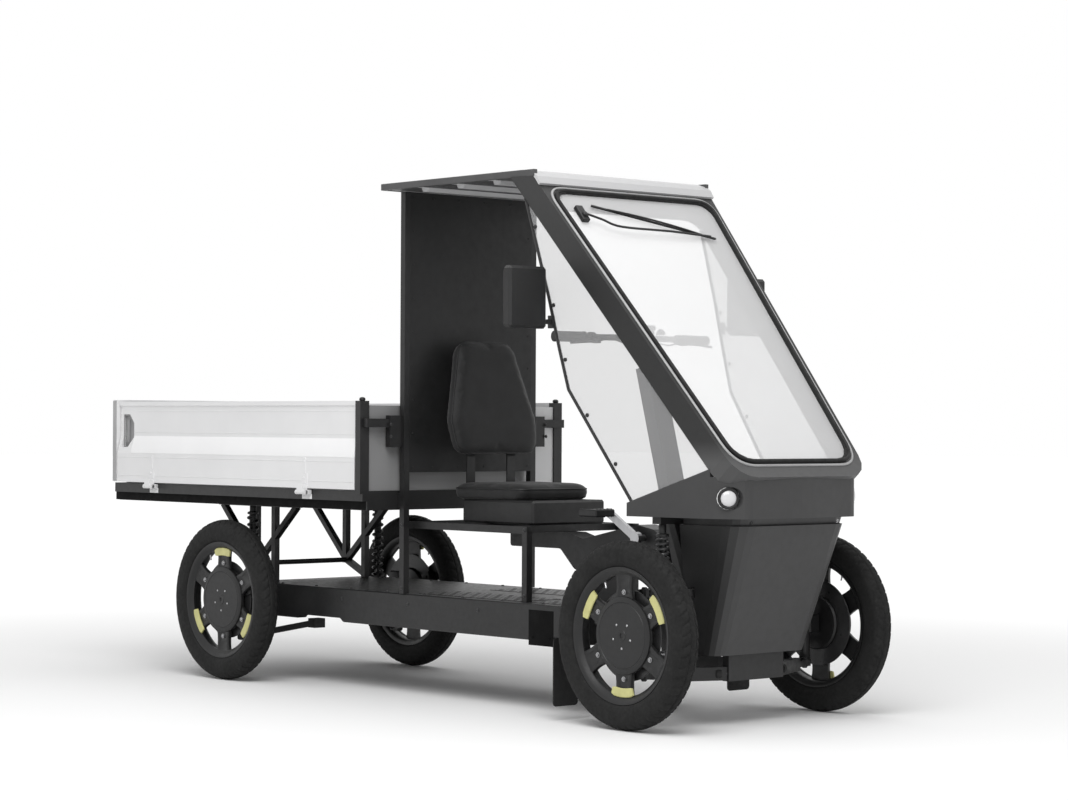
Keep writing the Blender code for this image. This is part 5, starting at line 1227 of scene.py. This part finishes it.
def make_boots():
    """Pleated boots at the kingpins, bushes at the arms' roots and the bolt of each tie rod eye."""
    ring = [(0.0115, 0.0), (0.0175, 0.0), (0.0190, 0.004), (0.0190, 0.016), (0.0175, 0.020), (0.0115, 0.020)]
    bm = bmesh.new()
    for side in (-1, 1):
        for x in ARM_FEET:
            for z in ARM_LEVELS:
                foot = Vector((FRONT_AXLE_X + x, side * 0.120, z))
                axis = (Vector((FRONT_AXLE_X, side * KINGPIN_Y, z)) - foot).normalized()
                add_lathe(bm, ring, 20, spin_matrix(foot + axis * 0.030, axis), closed=True)
    place("arm_bushes", bm, "chassis", "rubber")
    boot = [(0.0125, 0.0)]
    for index in range(4):
        height = index * 0.006
        boot += [(0.0215 - index * 0.0010, 0.003 + height), (0.0188 - index * 0.0008, 0.006 + height)]
    boot += [(0.0125, 0.027)]
    for name, side in SIDES:
        bm = bmesh.new()
        for z, up in ((0.1915, 1), (0.4385, -1)):
            matrix = spin_matrix((FRONT_AXLE_X, side * KINGPIN_Y, z), (0, 0, up))
            add_lathe(bm, boot, 20, matrix, closed=True)
        add_bolt(bm, (FRONT_AXLE_X - 0.120, side * KINGPIN_Y, 0.260), (0, 0, 1), 0.007, 0.006)
        place(f"kingpin_boots_{name}", bm, f"knuckle_{name}", "rubber")


def make_tail_lamps():
    """A dark rim around each tail lamp."""
    for name, _ in SIDES:
        low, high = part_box(f"tail_lamp_{name}")
        near, far, foot, head = low.y + 0.002, high.y - 0.002, low.z + 0.002, high.z - 0.002
        rim = rounded([(near, foot), (far, foot), (far, head), (near, head)], [0.005] * 4, 4)
        bm = bmesh.new()
        add_tube(bm, [(low.x + 0.004, y, z) for y, z in rim], 0.0026, closed=True)
        place(f"tail_rim_{name}", bm, "chassis", "plastic")


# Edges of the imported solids

SHARP_ANGLE = 34.0
SOFT_EDGES = {
    0.009: "cab_frame",
    0.008: "steering_column",
    0.006: "main_beam",
    0.004: "seat_box mirror_left mirror_right",
    0.003: "tube_frame nose_band roof_panel",
    0.002: "bed_frame floor_platform front_subframe nose_panel bed_truss_left bed_truss_right"
           " rear_carrier_left rear_carrier_right knuckle_left knuckle_right",
    0.0015: "side_board_left side_board_right tailgate crank",
    0.001: "headboard rear_wall",
}


def smoothing_group():
    """Geometry nodes that shade smooth, and keep edges sharper than an angle."""
    group = bpy.data.node_groups.new("smooth_by_angle", "GeometryNodeTree")
    for way in ("INPUT", "OUTPUT"):
        group.interface.new_socket("Geometry", in_out=way, socket_type="NodeSocketGeometry")
    graph = Graph(group)
    start = graph.add("NodeGroupInput").outputs["Geometry"]
    smooth = graph.add("GeometryNodeSetShadeSmooth", {"Geometry": start}).outputs["Geometry"]
    angle = graph.add("GeometryNodeInputMeshEdgeAngle").outputs["Unsigned Angle"]
    sharp = graph.add("FunctionNodeCompare", {"A": angle, "B": radians(SHARP_ANGLE)}).outputs["Result"]
    inputs = {"Geometry": smooth, "Selection": sharp, "Shade Smooth": False}
    edges = graph.add("GeometryNodeSetShadeSmooth", inputs, domain="EDGE").outputs["Geometry"]
    graph.add("NodeGroupOutput", {"Geometry": edges})
    return group


def soften_edges():
    """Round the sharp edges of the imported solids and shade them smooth, with modifiers."""
    group = smoothing_group()
    for width, names in SOFT_EDGES.items():
        for name in names.split():
            step = NODES[name].modifiers.new("soft_edges", "BEVEL")
            step.width = width
            step.segments = 3 if width > 0.005 else 2
            step.limit_method = "ANGLE"
            step.angle_limit = radians(38.0)
            step.use_clamp_overlap = True
    for node in NODES.values():
        node.modifiers.new("smooth", "NODES").node_group = group


# Stage

SENSOR_WIDTH = 36.0


def make_camera():
    """The camera of the photograph."""
    ahead = polar(cos(CAMERA_PITCH), CAMERA_YAW, sin(CAMERA_PITCH))
    level = Vector((sin(CAMERA_YAW), -cos(CAMERA_YAW), 0.0))
    upright = level.cross(ahead)
    right = cos(CAMERA_ROLL) * level + sin(CAMERA_ROLL) * upright
    up = cos(CAMERA_ROLL) * upright - sin(CAMERA_ROLL) * level
    data = bpy.data.cameras.new("camera")
    data.sensor_width = SENSOR_WIDTH
    data.lens = SENSOR_WIDTH * FOCAL_PIXELS / PHOTO_WIDTH
    data.clip_end = 200.0
    camera = bpy.data.objects.new("camera", data)
    turn = Matrix((right, up, -ahead)).transposed().to_4x4()
    camera.matrix_world = Matrix.Translation(CAMERA_PLACE) @ turn
    bpy.context.scene.collection.objects.link(camera)
    bpy.context.scene.camera = camera


def area_light(name, place_at, target, size, power):
    """A soft rectangular lamp aimed at a point."""
    data = bpy.data.lights.new(name, "AREA")
    data.shape = "RECTANGLE"
    data.size, data.size_y = size
    data.energy = power
    lamp = bpy.data.objects.new(name, data)
    lamp.location = place_at
    aim = Vector(target) - Vector(place_at)
    lamp.rotation_euler = aim.to_track_quat("-Z", "Y").to_euler()
    bpy.context.scene.collection.objects.link(lamp)


WHITE = (1.0, 1.0, 1.0, 1.0)
BLACK = (0.0, 0.0, 0.0)
WORLD_LIGHT = 0.50
FLOOR_COLOUR = (0.97, 0.97, 0.97)
FLOOR_HALF = 60.0
FADE_START = 1.5
FADE_END = 5.5


def seen_directly(graph):
    """A value of 1 for camera, glossy and transmitted rays."""
    rays = graph.add("ShaderNodeLightPath").outputs
    first = graph.maths("MAXIMUM", rays["Is Camera Ray"], rays["Is Glossy Ray"])
    return graph.maths("MAXIMUM", first, rays["Is Transmission Ray"])


def floor_finish():
    """A pale surface that fades to plain white away from the part, and is clear from below."""
    made = Shader("floor", FLOOR_COLOUR, 0.85, ior=1.5)
    made.set("Specular IOR Level", 0.1)
    made.set("Emission Color", WHITE)
    distance = made.add("ShaderNodeVectorMath", {0: made.coordinates["Object"]}, operation="LENGTH")
    fade = made.ramp(distance.outputs["Value"], 0.0, 1.0, FADE_START, FADE_END,
                     interpolation_type="SMOOTHSTEP")
    glow = made.maths("MULTIPLY", seen_directly(made), fade)
    made.link(glow, made.main.inputs["Emission Strength"])
    made.mix_colour(glow, BLACK)
    below = made.add("ShaderNodeNewGeometry").outputs["Backfacing"]
    clear = made.add("ShaderNodeBsdfTransparent").outputs["BSDF"]
    one_way = made.add("ShaderNodeMixShader", {"Fac": below, 1: made.main.outputs["BSDF"], 2: clear})
    made.link(one_way.outputs["Shader"], made.tree.nodes["Material Output"].inputs["Surface"])
    return made.material


def make_stage():
    """White studio: a pale floor, a white surround and soft lamps."""
    world = bpy.data.worlds.new("studio")
    bpy.context.scene.world = world
    world.use_nodes = True
    graph = Graph(world.node_tree)
    background = graph.tree.nodes["Background"].inputs
    background["Color"].default_value = WHITE
    graph.link(graph.ramp(seen_directly(graph), WORLD_LIGHT, 1.0), background["Strength"])

    bm = bmesh.new()
    bmesh.ops.create_grid(bm, x_segments=1, y_segments=1, size=FLOOR_HALF)
    floor = bpy.data.objects.new("floor", finish_bmesh(bm, "floor"))
    bpy.context.scene.collection.objects.link(floor)
    floor.data.materials.append(floor_finish())

    area_light("key", (3.5, -3.5, 6.0), (0.0, 0.0, 0.6), (5.0, 5.0), 340.0)
    area_light("top", (-1.0, 1.0, 6.5), (0.0, 0.0, 0.8), (6.0, 6.0), 75.0)
    bpy.context.scene.view_settings.view_transform = "Standard"


dress_nodes()
for end in ENDS:
    for side_word, side_sign in SIDES:
        make_tyre(end, side_sign, side_word)
        make_rim(end, side_sign, side_word)
for side_word, _ in SIDES:
    make_shock(f"rear_shock_{side_word}", 10)
    make_shock(f"front_shock_{side_word}", 6)
make_seat()
make_headlamps()
make_mirrors()
make_wiper()
make_seal_lip()
make_roof_trim()
make_side_fasteners()
make_bolts()
make_post_caps()
make_board_trim()
make_hinge_covers()
make_painted_beam_shade()
make_sill_ends()
make_tailgate_trim()
make_bed_floor()
make_deck_tread()
make_bar_fittings()
make_pedal_treads()
make_boots()
make_tail_lamps()
soften_edges()
make_camera()
make_stage()
